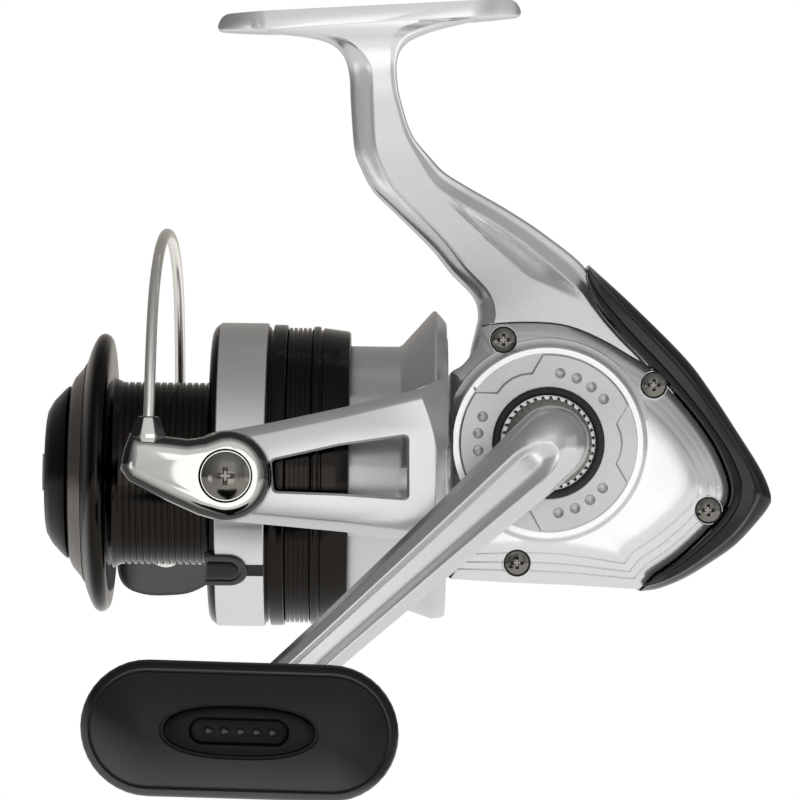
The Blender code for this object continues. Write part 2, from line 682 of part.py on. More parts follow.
def make_rotor_arm(name, outline, window, inner_y, outer_y):
    low, high = sorted((inner_y, outer_y))
    arm = plate(name, at_axis(outline), low, high)
    round_edges(arm, 0.9, 2, 60.0)
    cut(arm, plate("window", at_axis(window), -60.0, 60.0))
    cut(arm, rod_x("skirt_room", -60.0, 6.5, ARM_INNER_R, 48))
    return arm


def make_rotor(material):
    """The cup that spins round the spool, with two arms that carry the bail."""
    rotor = lathe_x(
        "rotor",
        [(-14.0, 0.0), (-14.0, 27.2), (-13.2, ROTOR_R), (7.4, ROTOR_R), (14.6, 30.6), (17.2, 30.4),
         (17.8, 29.8), (17.8, 0.0)],
        48,
    )
    flare = lathe_x("flare", [(7.0, 26.0), (7.4, ROTOR_R), (14.8, 35.8), (17.2, 33.6), (17.5, 32.9),
                              (17.5, 26.0)], 48)
    half = loft("half", [[(x, y, z) for x, y in ((0.0, -50.0), (30.0, -50.0), (30.0, 50.0), (0.0, 50.0))]
                         for z in (SPOOL_AXIS_Z + 2.0, SPOOL_AXIS_Z + 60.0)])
    combine(flare, half, "INTERSECT")
    near = make_rotor_arm("near_arm", ARM_TOP + NEAR_ARM_BOTTOM + boss_arc(262.0, 98.0, 9.4, 10),
                          NEAR_WINDOW, -27.6, -ARM_OUTER_Y)
    far = make_rotor_arm("far_arm", ARM_TOP + FAR_ARM_BOTTOM + boss_arc(262.0, 98.0, 9.4, 10),
                         [(-17.0, 3.0), (6.0, 8.0), (6.0, -2.6), (-17.0, -2.6)], 27.6, ARM_OUTER_Y)
    join(rotor, flare, near, far)
    envelope = lathe_x("envelope", [(-46.0, 0.0), (-46.0, 42.5), (-30.0, 43.6), (11.0, 43.6),
                                    (17.7, 37.4), (18.4, 35.0), (18.4, 0.0)], 48)
    combine(rotor, envelope, "INTERSECT")
    cup = lathe_x("cup", [(-10.8, 8.0), (-10.8, 24.6), (-10.0, 25.4), (8.0, 25.4), (18.6, 28.4),
                          (18.6, 0.0), (-2.4, 0.0), (-2.4, 8.0)], 48)
    cut(
        rotor,
        cup,
        rod_x("rotor_bore", -20.0, 10.0, SLEEVE_R + FIT, 24),
        rod_y("near_thread", -45.0, -35.4, 2.2 + FIT, 16, BAIL_PIVOT_X, SPOOL_AXIS_Z),
        rod_y("far_thread", 35.4, 45.0, 2.2 + FIT, 16, BAIL_PIVOT_X, SPOOL_AXIS_Z),
    )
    return finish(rotor, material, (0.0, 0.0, SPOOL_AXIS_Z))


def make_rotor_nut(material):
    nut = lathe_x("rotor_nut", [(-18.4, 0.0), (-18.4, 6.2), (-14.3, 6.2), (-14.3, 0.0)], 6)
    cut(nut, rod_x("nut_bore", -20.0, -10.0, SLEEVE_R + FIT, 24))
    return finish(nut, material, (0.0, 0.0, SPOOL_AXIS_Z))


def make_bail(chrome, black, steel):
    pivot = (BAIL_PIVOT_X, 0.0, SPOOL_AXIS_Z)
    near = boss_arc(-82.0, 82.0, 9.5, 12)
    lever = plate("bail_lever", at_axis(LEVER_OUTLINE + near), -LEVER_OUT_Y, -LEVER_IN_Y)
    round_edges(lever, 0.8, 2, 60.0)
    socket_y = -(LEVER_IN_Y + LEVER_OUT_Y) / 2.0
    rings = []
    for height, radius in ((5.0, 2.3), (7.0, 4.0), (8.2, 4.0), (11.6, 2.6), (12.0, 2.3)):
        ring = []
        for i in range(20):
            angle = 2.0 * math.pi * i / 20
            ring.append((-44.4 + radius * math.cos(angle), socket_y + min(radius, 3.4) * math.sin(angle),
                         SPOOL_AXIS_Z + height))
        rings.append(ring)
    join(lever, loft("collar", rings))
    socket = tube("socket", [(-44.4, socket_y, SPOOL_AXIS_Z + 8.0), (-44.4, socket_y, SPOOL_AXIS_Z + 16.0)],
                  WIRE_R + FIT, 12)
    pivot_hole = lathe_y("pivot_hole", [(-50.0, 0.0), (-50.0, 5.3), (-43.2, 5.3), (-43.2, 2.29),
                                        (-30.0, 2.29), (-30.0, 0.0)], 24, BAIL_PIVOT_X, SPOOL_AXIS_Z)
    cut(lever, pivot_hole, socket)
    finish(lever, chrome, pivot)

    arm = plate("bail_arm", at_axis(BAIL_ARM_OUTLINE + boss_arc(-62.0, 96.0, 8.6, 10)), 39.8, 44.0)
    round_edges(arm, 0.8, 2, 60.0)
    pivot_hole = lathe_y("pivot_hole", [(30.0, 0.0), (30.0, 2.29), (43.0, 2.29), (43.0, 5.0),
                                        (50.0, 5.0), (50.0, 0.0)], 24, BAIL_PIVOT_X, SPOOL_AXIS_Z)
    roller_hole = lathe_y("roller_hole", [(30.0, 0.0), (30.0, 1.55), (43.0, 1.55), (43.0, 3.2),
                                          (50.0, 3.2), (50.0, 0.0)], 16, ROLLER_X, SPOOL_AXIS_Z + ROLLER_Z)
    cut(arm, pivot_hole, roller_hole)
    finish(arm, black, pivot)

    path = [(-44.4, socket_y, 8.3), (-44.4, socket_y, 12.0)]
    centre_height = 9.4
    reach = 42.3
    for i in range(19):
        angle = math.radians(172.0 - 172.0 * i / 18.0)
        y = reach * math.cos(angle)
        height = centre_height + reach * math.sin(angle)
        share = i / 18.0
        path.append((-44.3 + 2.7 * min(1.0, 1.15 * share), y, height))
    path += [(-41.9, 40.9, 5.6), (-42.4, 38.3, 2.4), (-43.0, 36.6, -3.0), (-43.6, 34.6, -9.5),
             (-44.0, 33.4, -14.6), (-44.0, 33.2, -16.6)]
    wire = tube("bail_wire", [(x, y, z + SPOOL_AXIS_Z) for x, y, z in path], WIRE_R, 8)
    seat = lathe_y("wire_cone", [(31.8, 0.0), (31.9, 2.2), (33.6, 4.2), (34.9, 4.4), (34.9, 0.0)], 16,
                   ROLLER_X, SPOOL_AXIS_Z + ROLLER_Z)
    join(wire, seat)
    cut(wire, rod_y("screw_end", 32.6, 40.0, 1.5 + FIT, 12, ROLLER_X, SPOOL_AXIS_Z + ROLLER_Z))
    finish(wire, steel, pivot)

    roller = lathe_y(
        "line_roller",
        [(35.2, 1.6), (35.2, 4.2), (35.8, 4.2), (36.8, 3.3), (38.0, 3.3), (39.0, 4.2), (39.5, 4.2),
         (39.5, 1.6)],
        20, ROLLER_X, SPOOL_AXIS_Z + ROLLER_Z,
    )
    finish(roller, chrome, (ROLLER_X, 0.0, SPOOL_AXIS_Z + ROLLER_Z))


# ---------------------------------------------------------------- spool, shaft and drag

def make_spool(dark, silver, black):
    profile = list(SPOOL_LIP)
    for i in range(GROOVE_COUNT):
        start = ARBOR_START_X + i * GROOVE_PITCH
        profile.append((start, ARBOR_R))
        profile.append((start + 0.5 * GROOVE_PITCH, ARBOR_GROOVE_R))
    profile += SPOOL_SKIRT
    for i in range(RIB_COUNT):
        profile.append((RIB_START_X + i * 1.0 + 0.2, RIB_R))
        profile.append((RIB_START_X + i * 1.0 + 0.75, RIB_VALLEY_R))
    profile += SPOOL_REAR
    origin = (0.0, 0.0, SPOOL_AXIS_Z)
    finish(lathe_x("spool", profile, 24), dark, origin)
    finish(ring_x("spool_band", -31.0, -20.7, 31.25, SKIRT_R, 24), silver, origin)

    centre = math.radians(180.0 + 37.7)
    half = 4.0 / SKIRT_R
    rings = []
    for angle, rear in ((-1.0, 0.0), (-0.8, 1.0), (-0.3, 1.0), (0.3, 1.0), (0.8, 1.0), (1.0, 0.0)):
        turn = centre + angle * half
        ring = []
        for x, radius in ((-30.8 + 1.2 * (1.0 - rear), 32.78), (-24.4 - 0.6 * (1.0 - rear), 32.78),
                          (-24.4 - 0.6 * (1.0 - rear), 33.5), (-30.8 + 1.2 * (1.0 - rear), 33.7)):
            ring.append((x, radius * math.cos(turn), SPOOL_AXIS_Z + radius * math.sin(turn)))
        rings.append(ring)
    finish(loft("line_clip", rings), black, origin)


def make_drag(fibre, steel, black, brass):
    origin = (0.0, 0.0, SPOOL_AXIS_Z)
    for number, material in enumerate((fibre, steel, fibre), start=1):
        rear = -50.6 - 1.4 * (number - 1)
        washer = ring_x("drag_washer_%d" % number, rear - 1.2, rear, SHAFT_R + 0.3, 13.8, 24)
        finish(washer, material, origin)
    finish(ring_x("retaining_ring", -55.6, -54.8, 12.6, 13.95, 24), steel, origin)
    knob = lathe_x(
        "drag_knob",
        [(-69.0, 0.0), (-68.9, 5.0), (-68.3, 10.5), (-67.4, 13.8), (-66.5, 15.6), (-65.2, 17.4),
         (-64.0, 18.4), (-63.3, 18.6), (-63.1, 18.2), (-63.1, 10.0), (-61.0, 8.0), (-56.6, 7.4),
         (-56.6, 4.8), (-61.4, 4.8), (-61.4, SHAFT_R + FIT), (-66.2, SHAFT_R + FIT), (-66.2, 0.0)],
        30,
    )
    finish(knob, black, origin)
    nut = lathe_x("drag_nut", [(-61.2, 0.0), (-61.2, 4.6), (-57.0, 4.6), (-57.0, 0.0)], 6)
    cut(nut, rod_x("nut_bore", -70.0, -50.0, SHAFT_R + FIT, 20))
    finish(nut, brass, origin)


def make_shaft(steel, metal):
    origin = (0.0, 0.0, SPOOL_AXIS_Z)
    finish(rod_x("main_shaft", -66.0, 52.0, SHAFT_R, 20), steel, origin)
    corners = [(46.0, -98.4), (54.0, -98.4), (54.0, -115.0), (46.0, -115.0)]
    slider = plate("oscillation_slider", corners, -2.75, 6.8)
    round_edges(slider, 0.5, 1, 60.0)
    cut(
        slider,
        rod_x("shaft_hole", 44.0, 52.4, SHAFT_R + FIT, 20),
        rod_x("guide_hole", 40.0, 60.0, GUIDE_ROD_R + 0.08, 12, GUIDE_ROD_Y, GUIDE_ROD_Z),
    )
    finish(slider, metal, origin)
    finish(rod_x("guide_rod", 19.4, 71.8, GUIDE_ROD_R, 12, GUIDE_ROD_Y, GUIDE_ROD_Z), steel)


# ---------------------------------------------------------------- assembly

def clear_scene():
    for item in list(bpy.data.objects):
        bpy.data.objects.remove(item)


def build():
    clear_scene()
    silver = make_material("silver_paint", (0.60, 0.61, 0.62), 0.32, 0.6)
    rotor_silver = make_material("rotor_silver", (0.50, 0.51, 0.53), 0.35, 0.6)
    satin = make_material("satin_aluminium", (0.70, 0.70, 0.70), 0.30, 1.0)
    black = make_material("black_plastic", (0.02, 0.02, 0.021), 0.35, 0.0)
    gloss = make_material("gloss_black", (0.015, 0.015, 0.016), 0.10, 0.0)
    rubber = make_material("black_rubber", (0.02, 0.02, 0.02), 0.6, 0.0)
    dark = make_material("dark_anodised", (0.055, 0.050, 0.047), 0.22, 0.9)
    chrome = make_material("polished_chrome", (0.80, 0.79, 0.77), 0.08, 1.0)
    steel = make_material("steel", (0.55, 0.55, 0.56), 0.28, 1.0)
    brass = make_material("brass", (0.65, 0.48, 0.22), 0.3, 1.0)
    zinc = make_material("zinc_alloy", (0.42, 0.42, 0.43), 0.45, 0.9)
    fibre = make_material("carbon_fibre", (0.05, 0.05, 0.05), 0.55, 0.0)

    make_housing(silver)
    make_side_cover(silver)
    make_side_plate(silver)
    finish(ring_y("seal_ring", -24.2, -19.8, 10.1, 11.8, 30, CRANK_X, CRANK_Z), rubber)
    for number, (x, z) in enumerate(COVER_SCREWS, start=1):
        make_screw("cover_screw_%d" % number, steel, x, z, -19.2, 11.0, 2.3, 1.2, 1.0)
    make_guard(gloss)
    make_screw("guard_screw", steel, *GUARD_SCREW, 17.5, 8.0, 2.1, 1.0, -1.0)
    near = grooved_ring(-18.3, -14.6, CRANK_R + FIT, BEARING_R)
    far = grooved_ring(13.0, 16.8, CRANK_R + FIT, BEARING_R)
    finish(lathe_y("bearing_near", near, 24, CRANK_X, CRANK_Z), steel)
    finish(lathe_y("bearing_far", far, 24, CRANK_X, CRANK_Z), steel)
    front = grooved_ring(9.0, 13.8, SLEEVE_R + FIT, BEARING_R)
    clutch = grooved_ring(1.6, 8.4, SLEEVE_R + FIT, CLUTCH_R)
    finish(lathe_x("pinion_bearing", front, 24), steel)
    finish(lathe_x("anti_reverse_clutch", clutch, 24), steel)

    make_drive_gear(zinc)
    make_pinion(brass)
    make_oscillation_gears(zinc)
    make_crank(satin, steel)
    make_handle_arm(satin)
    make_knob(black, gloss, steel)

    make_rotor(rotor_silver)
    make_rotor_nut(brass)
    make_screw("pivot_screw_near", chrome, BAIL_PIVOT_X, SPOOL_AXIS_Z, -45.4, 9.4, 4.4, 2.2, 1.0)
    make_screw("pivot_screw_far", chrome, BAIL_PIVOT_X, SPOOL_AXIS_Z, 45.2, 9.2, 4.2, 2.2, -1.0)
    make_bail(chrome, black, steel)
    make_screw("roller_screw", chrome, ROLLER_X, SPOOL_AXIS_Z + ROLLER_Z, 44.8, 12.0, 2.8, 1.5, -1.0)

    make_spool(dark, satin, black)
    make_drag(fibre, steel, black, brass)
    make_shaft(steel, zinc)


build()
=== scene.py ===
"""Looks for the spinning reel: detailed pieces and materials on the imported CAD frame.

Lengths are millimetres in the CAD's own frame: +X back, -Y the handle side, +Z up to the rod.
"""

import json
from math import atan2, copysign, cos, hypot, pi, radians, sin, sqrt

import bmesh
import bpy
from mathutils import Matrix, Vector


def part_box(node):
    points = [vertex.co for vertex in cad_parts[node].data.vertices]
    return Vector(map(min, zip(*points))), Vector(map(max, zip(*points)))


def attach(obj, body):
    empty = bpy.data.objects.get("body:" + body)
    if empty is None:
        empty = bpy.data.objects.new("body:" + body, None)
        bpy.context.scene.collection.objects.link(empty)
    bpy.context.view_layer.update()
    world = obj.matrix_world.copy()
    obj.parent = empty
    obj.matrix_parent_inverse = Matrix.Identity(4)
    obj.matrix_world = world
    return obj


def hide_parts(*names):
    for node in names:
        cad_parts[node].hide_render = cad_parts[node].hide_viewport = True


MM = 0.001

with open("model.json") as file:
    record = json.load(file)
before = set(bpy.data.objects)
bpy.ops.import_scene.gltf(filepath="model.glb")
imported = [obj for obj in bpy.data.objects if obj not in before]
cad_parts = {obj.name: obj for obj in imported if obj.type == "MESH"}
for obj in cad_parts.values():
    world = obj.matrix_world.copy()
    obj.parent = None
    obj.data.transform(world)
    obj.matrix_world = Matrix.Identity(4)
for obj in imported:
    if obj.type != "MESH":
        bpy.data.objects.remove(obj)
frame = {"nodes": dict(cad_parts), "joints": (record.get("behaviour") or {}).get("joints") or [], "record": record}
NODES = frame["nodes"]
JOINTS = {joint["name"]: joint for joint in frame["joints"]}


def joint_point(name):
    """A joint's point in millimetres."""
    return [value / MM for value in JOINTS[name]["pos_m"]]


def node_box(name):
    """A node's lowest and highest corner in millimetres."""
    low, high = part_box(name)
    return low / MM, high / MM


CRANK_X, _, CRANK_Z = joint_point("crank_turn")
KNOB_X, _, KNOB_Z = joint_point("knob_turn")
AXIS_Z = joint_point("rotor_turn")[2]
PIVOT_X = joint_point("bail_flip")[0]
ROLLER_X, _, ROLLER_Z = joint_point("roller_turn")
COVER_SCREWS = []
for number in range(1, 5):
    low, high = node_box("cover_screw_%d" % number)
    COVER_SCREWS.append(((low.x + high.x) / 2, (low.z + high.z) / 2))

# Depths of the side faces, measured from the middle plane.
COVER_SEAT_Y = -13
SIDE_RING_Y = -21.6
PLATE_FACE_Y = -23.2
BODY_FAR_Y = 19.5


# ---------------------------------------------------------------- mesh helpers

def make_object(name, points, faces):
    """A mesh object in millimetres with outward faces; place() scales it to metres."""
    mesh = bpy.data.meshes.new(name)
    mesh.from_pydata(points, [], faces)
    work = bmesh.new()
    work.from_mesh(mesh)
    bmesh.ops.remove_doubles(work, verts=work.verts, dist=0.0005)
    bmesh.ops.recalc_face_normals(work, faces=work.faces)
    work.to_mesh(mesh)
    work.free()
    shape = bpy.data.objects.new(name, mesh)
    bpy.context.scene.collection.objects.link(shape)
    return shape


def loft(name, rings):
    """Join equal rings in order and cap both ends."""
    count = len(rings[0])
    points = [p for ring in rings for p in ring]
    faces = []
    for low in range(0, len(points) - count, count):
        for i in range(count):
            j = (i + 1) % count
            faces.append((low + i, low + j, low + count + j, low + count + i))
    faces.append(tuple(range(count)))
    faces.append(tuple(range(len(points) - count, len(points))))
    return make_object(name, points, faces)


def plate(name, outline, low_y, high_y):
    """An (x, z) outline carried from low_y to high_y."""
    return loft(name, [[(x, y, z) for x, z in outline] for y in (low_y, high_y)])


def lathe(name, profile, segments, locate):
    """Turn a closed profile of (along, radius) points; radius 0 closes on the axis."""
    rings = []
    points = []
    for along, radius in profile:
        steps = 1 if radius == 0 else segments
        start = len(points)
        for i in range(steps):
            angle = 2 * pi * i / segments
            points.append(locate(along, radius, cos(angle), sin(angle)))
        rings.append([start + (i % steps) for i in range(segments)])
    faces = []
    for k, ring in enumerate(rings):
        after = rings[(k + 1) % len(rings)]
        for i in range(segments):
            j = (i + 1) % segments
            corners = list(dict.fromkeys((ring[i], ring[j], after[j], after[i])))
            if len(corners) > 2:
                faces.append(tuple(corners))
    return make_object(name, points, faces)


def lathe_x(name, profile, segments):
    """Turn a profile round the rotor's axis."""
    return lathe(name, profile, segments, lambda a, r, c, s: (a, r * c, AXIS_Z + r * s))


def lathe_y(name, profile, segments, x, z):
    """Turn a profile round a cross axis through (x, z)."""
    return lathe(name, profile, segments, lambda a, r, c, s: (x + r * c, a, z + r * s))


def rod_y(name, low, high, radius, segments, x, z):
    return lathe_y(name, [(low, 0), (low, radius), (high, radius), (high, 0)], segments, x, z)


def lathe_crank(name, profile, segments):
    return lathe_y(name, profile, segments, CRANK_X, CRANK_Z)


def rod_x(name, low, high, radius, segments):
    return lathe_x(name, [(low, 0), (low, radius), (high, radius), (high, 0)], segments)


def tube(name, path, radius, sides):
    """A round wire through the path's points."""
    path = [Vector(p) for p in path]
    side = Vector((1, 0, 0))
    rings = []
    for i, centre in enumerate(path):
        ahead = (path[min(i + 1, len(path) - 1)] - path[max(i - 1, 0)]).normalized()
        side = (side - ahead * side.dot(ahead)).normalized()
        up = ahead.cross(side)
        ring = []
        for k in range(sides):
            angle = 2 * pi * k / sides
            ring.append(tuple(centre + (side * cos(angle) + up * sin(angle)) * radius))
        rings.append(ring)
    return loft(name, rings)


def smooth_line(points, steps):
    """A Catmull-Rom curve through flat or spatial points, with the given steps for each span."""
    vectors = [Vector(p) for p in points]
    padded = [vectors[0] * 2 - vectors[1]] + vectors + [vectors[-1] * 2 - vectors[-2]]
    line = []
    for i in range(1, len(padded) - 2):
        a, b, c, d = padded[i - 1:i + 3]
        for k in range(steps):
            t = k / steps
            line.append(0.5 * (2 * b + (c - a) * t + (2 * a - 5 * b + 4 * c - d) * t * t
                               + (3 * b - a - 3 * c + d) * t ** 3))
    line.append(vectors[-1])
    return [tuple(p) for p in line]


def resample(points, count):
    """The line's points at equal steps along its length."""
    vectors = [Vector(p) for p in points]
    lengths = [0]
    for a, b in zip(vectors, vectors[1:]):
        lengths.append(lengths[-1] + (b - a).length)
    result = []
    k = 0
    for i in range(count):
        target = lengths[-1] * i / (count - 1)
        while k < len(lengths) - 2 and lengths[k + 1] < target:
            k += 1
        share = (target - lengths[k]) / max(lengths[k + 1] - lengths[k], 1e-9)
        result.append(tuple(vectors[k].lerp(vectors[k + 1], min(max(share, 0), 1))))
    return result


def shift_line(points, distance, closed=True):
    """Move an (x, z) line sideways: positive to the left of its direction."""
    moved = []
    count = len(points)
    for i, (x, z) in enumerate(points):
        before = points[i - 1] if closed or i > 0 else points[i]
        after = points[(i + 1) % count] if closed or i < count - 1 else points[i]
        first = Vector((x - before[0], z - before[1]))
        second = Vector((after[0] - x, after[1] - z))
        first = first.normalized() if first.length > 1e-6 else second.normalized()
        second = second.normalized() if second.length > 1e-6 else first
        bisector = (first + second).normalized()
        normal = Vector((-bisector.y, bisector.x))
        stretch = 1 / max(0.6, normal.dot(Vector((-first.y, first.x))))
        moved.append((x + normal.x * distance * stretch, z + normal.y * distance * stretch))
    return moved


def inset(outline, distance):
    """Move a closed outline inward, whichever way round it is listed."""
    area = 0
    for (x0, z0), (x1, z1) in zip(outline, outline[1:] + outline[:1]):
        area += x0 * z1 - x1 * z0
    return shift_line(outline, copysign(distance, distance * area))


def terraces(name, outline, levels, side=1):
    """Carry an outline through (depth, inset) levels; side -1 mirrors the depths."""
    rings = []
    for y, distance in levels:
        rings.append([(x, side * y, z) for x, z in inset(outline, distance)])
    return loft(name, rings)


def round_corners(outline, radius, steps=5):
    """Replace each corner of a closed outline with a small curve."""
    rounded = []
    count = len(outline)
    for i in range(count):
        before = Vector(outline[i - 1])
        corner = Vector(outline[i])
        after = Vector(outline[(i + 1) % count])
        reach_in = min(radius, (before - corner).length * 0.45)
        reach_out = min(radius, (after - corner).length * 0.45)
        start = corner + (before - corner).normalized() * reach_in
        end = corner + (after - corner).normalized() * reach_out
        for k in range(steps + 1):
            t = k / steps
            rounded.append(tuple(start * (1 - t) ** 2 + corner * 2 * t * (1 - t) + end * t * t))
    return rounded


def bake(shape):
    """Keep the result of the shape's modifiers as its mesh."""
    graph = bpy.context.evaluated_depsgraph_get()
    mesh = bpy.data.meshes.new_from_object(shape.evaluated_get(graph))
    shape.modifiers.clear()
    shape.data = mesh


def combine(shape, others, operation):
    """Cut, join or intersect a shape with others, which are used up."""
    for other in others:
        step = shape.modifiers.new(operation, "BOOLEAN")
        step.operation = operation
        step.solver = "EXACT"
        step.object = other
        bake(shape)
        bpy.data.objects.remove(other)
    return shape


def cut(shape, *others):
    return combine(shape, others, "DIFFERENCE")


def join(shape, *others):
    return combine(shape, others, "UNION")


def soften(shape, width, segments, angle):
    """Round the edges that are sharper than the angle."""
    step = shape.modifiers.new("bevel", "BEVEL")
    step.width = width
    step.segments = segments
    step.limit_method = "ANGLE"
    step.angle_limit = radians(angle)
    step.miter_outer = "MITER_ARC"
    bake(shape)
    return shape


def place(shape, body, node, material, sharp):
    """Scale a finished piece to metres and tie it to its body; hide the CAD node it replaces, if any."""
    shape.data.transform(Matrix.Scale(MM, 4))
    shape.data.materials.clear()
    shape.data.materials.append(material)
    for face in shape.data.polygons:
        face.material_index = 0
    shape.data.shade_smooth()
    shape.data.set_sharp_from_angle(angle=radians(sharp))
    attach(shape, body)
    if node:
        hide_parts(node)


def smooth_step(low, high, value):
    """0 below low, 1 above high and an even curve between them."""
    t = min(max((value - low) / (high - low), 0), 1)
    return t * t * (3 - 2 * t)


# ---------------------------------------------------------------- materials

def base_material(name, colour, roughness, metallic):
    """A plain material, its node tree and its shader."""
    material = bpy.data.materials.new(name)
    material.use_nodes = True
    tree = material.node_tree
    shader = tree.nodes["Principled BSDF"]
    shader.inputs["Base Color"].default_value = (*colour, 1)
    shader.inputs["Roughness"].default_value = roughness
    shader.inputs["Metallic"].default_value = metallic
    return material, tree, shader


def add_node(tree, kind, values=None, operation=None):
    """A shader node with the values of its inputs and, for maths, its operation."""
    node = tree.nodes.new("ShaderNode" + kind)
    if operation:
        node.operation = operation
    for socket, value in (values or {}).items():
        node.inputs[socket].default_value = value
    return node


def add_ramp(tree, source, stops, target):
    """A colour ramp of (position, colour) stops between two sockets."""
    ramp = add_node(tree, "ValToRGB")
    elements = ramp.color_ramp.elements
    elements[0].position = stops[0][0]
    elements[1].position = stops[-1][0]
    for position, _ in stops[1:-1]:
        elements.new(position)
    for element, (_, colour) in zip(elements, stops):
        element.color = (*colour, 1)
    tree.links.new(source, ramp.inputs["Fac"])
    tree.links.new(ramp.outputs["Color"], target)


def add_noise(tree, scale, detail, stretch=None):
    """Noise in object space, in units of the object's metres; returns its value socket."""
    noise = add_node(tree, "TexNoise", {"Scale": scale, "Detail": detail})
    place_at = add_node(tree, "TexCoord").outputs["Object"]
    if stretch:
        mapping = add_node(tree, "Mapping", {"Scale": stretch})
        tree.links.new(place_at, mapping.inputs["Vector"])
        place_at = mapping.outputs["Vector"]
    tree.links.new(place_at, noise.inputs["Vector"])
    return noise.outputs["Fac"]


def vary_roughness(tree, noise, low, high, shader):
    """Let a noise move the roughness between two values."""
    span = add_node(tree, "MapRange", {"From Min": 0.3, "From Max": 0.7, "To Min": low, "To Max": high})
    tree.links.new(noise, span.inputs["Value"])
    tree.links.new(span.outputs["Result"], shader.inputs["Roughness"])


def add_bump(tree, noise, strength, distance, shader):
    """Let a noise roughen the surface; the distance is in metres."""
    bump = add_node(tree, "Bump", {"Strength": strength, "Distance": distance})
    tree.links.new(noise, bump.inputs["Height"])
    tree.links.new(bump.outputs["Normal"], shader.inputs["Normal"])


def metallic_paint(name, value, roughness, coat):
    """Silver paint with fine flake under a thin clear coat."""
    colour = (value, value * 1.005, value * 1.015)
    material, tree, shader = base_material(name, colour, roughness, 0.85)
    flake = add_noise(tree, 6000, 1)
    dark = tuple(c * 0.93 for c in colour)
    light = tuple(min(c * 1.06, 1) for c in colour)
    add_ramp(tree, flake, [(0.3, dark), (0.7, light)], shader.inputs["Base Color"])
    add_bump(tree, flake, 0.05, 0.00001, shader)
    vary_roughness(tree, add_noise(tree, 60, 3), roughness * 0.92, roughness * 1.1, shader)
    shader.inputs["Coat Weight"].default_value = coat
    shader.inputs["Coat Roughness"].default_value = 0.12
    return material


def bare_metal(name, colour, roughness, grain, stretch=None, bump=0.05):
    """Plain or brushed metal."""
    material, tree, shader = base_material(name, colour, roughness, 1)
    noise = add_noise(tree, grain, 3, stretch)
    vary_roughness(tree, noise, roughness * 0.85, roughness * 1.2, shader)
    add_bump(tree, noise, bump, 0.00002, shader)
    return material


def plastic(name, colour, roughness, grain, bump, coat=0, shine=0.5):
    """Moulded plastic or rubber with a fine texture."""
    material, tree, shader = base_material(name, colour, roughness, 0)
    noise = add_noise(tree, grain, 2)
    vary_roughness(tree, noise, roughness * 0.9, roughness * 1.15, shader)
    add_bump(tree, noise, bump, 0.00003, shader)
    shader.inputs["Coat Weight"].default_value = coat
    shader.inputs["Coat Roughness"].default_value = 0.05
    shader.inputs["Specular IOR Level"].default_value = shine
    return material


# Painted sheen: slopes facing this way (left and down) get a lighter grey base colour, standing in for a
# highlight.
PAINTED_SHEEN_SIDE = (-0.55, 0, -0.83)
GRIP_PAINTED_SHEEN = [(0.05, (0.011, 0.011, 0.011)), (0.30, (0.085, 0.085, 0.082))]
PAINTED_REFLECTION_BANDS = [
    # how squarely the surface faces sideways, painted brightness of the plating: dark bands stand in for the dark
    # surroundings the bevels reflect
    (0, 0.50), (0.34, 0.62), (0.48, 0.10), (0.86, 0.07), (0.95, 0.48), (0.99, 0.66), (1, 0.68),
]


def black_with_painted_sheen(name):
    """Satin black with painted sheen: its base colour turns soft grey on the lower and left-hand slopes, standing
    in for the highlight of light from there.
    """
    material, tree, shader = base_material(name, (0.006, 0.006, 0.0062), 0.30, 0)
    shader.inputs["Specular IOR Level"].default_value = 0.20
    lean = add_node(tree, "VectorMath", {1: PAINTED_SHEEN_SIDE}, "DOT_PRODUCT")
    tree.links.new(add_node(tree, "TexCoord").outputs["Normal"], lean.inputs[0])
    add_ramp(tree, lean.outputs["Value"], GRIP_PAINTED_SHEEN, shader.inputs["Base Color"])
    return material


def chrome_with_painted_bands(name):
    """Polished chrome with painted reflection bands: the base colour is darker on the bevels than on the faces and
    the rim, standing in for dark surroundings reflected in the bevels.
    """
    material, tree, shader = base_material(name, (0.78, 0.765, 0.735), 0.06, 1)
    split = add_node(tree, "SeparateXYZ")
    size = add_node(tree, "Math", operation="ABSOLUTE")
    tree.links.new(add_node(tree, "TexCoord").outputs["Normal"], split.inputs["Vector"])
    tree.links.new(split.outputs["Y"], size.inputs[0])
    painted_bands = [(position, (value, value * 0.985, value * 0.95)) for position, value in PAINTED_REFLECTION_BANDS]
    add_ramp(tree, size.outputs["Value"], painted_bands, shader.inputs["Base Color"])
    return material


SILVER = metallic_paint("silver_paint", 0.80, 0.27, 0.15)
ROTOR_SILVER = metallic_paint("rotor_silver", 0.70, 0.32, 0.1)
PLATE_SILVER = metallic_paint("plate_silver", 0.58, 0.38, 0.05)
ALUMINIUM = metallic_paint("satin_aluminium", 0.72, 0.24, 0.1)
BAND = bare_metal("satin_band", (0.80, 0.80, 0.80), 0.34, 700, (0.02, 1, 1))
CHROME = bare_metal("polished_chrome", (0.80, 0.785, 0.755), 0.055, 300, bump=0.01)
LEVER_CHROME_PAINTED_BANDS = chrome_with_painted_bands("lever_chrome_painted_bands")
GRIP_BLACK_PAINTED_SHEEN = black_with_painted_sheen("grip_black_painted_sheen")
STEEL = bare_metal("bright_steel", (0.94, 0.92, 0.87), 0.20, 500, bump=0.02)
# Dark nickel for the screws; the handle collar uses it too, as painted shade for its place deep in the seal ring.
NICKEL_AND_COLLAR_SHADE = bare_metal("dark_nickel_and_collar_shade", (0.22, 0.21, 0.19), 0.13, 900, bump=0.02)
SPOOL_DARK = bare_metal("dark_anodised", (0.024, 0.0215, 0.0195), 0.13, 400, (0.05, 1, 1), 0.02)
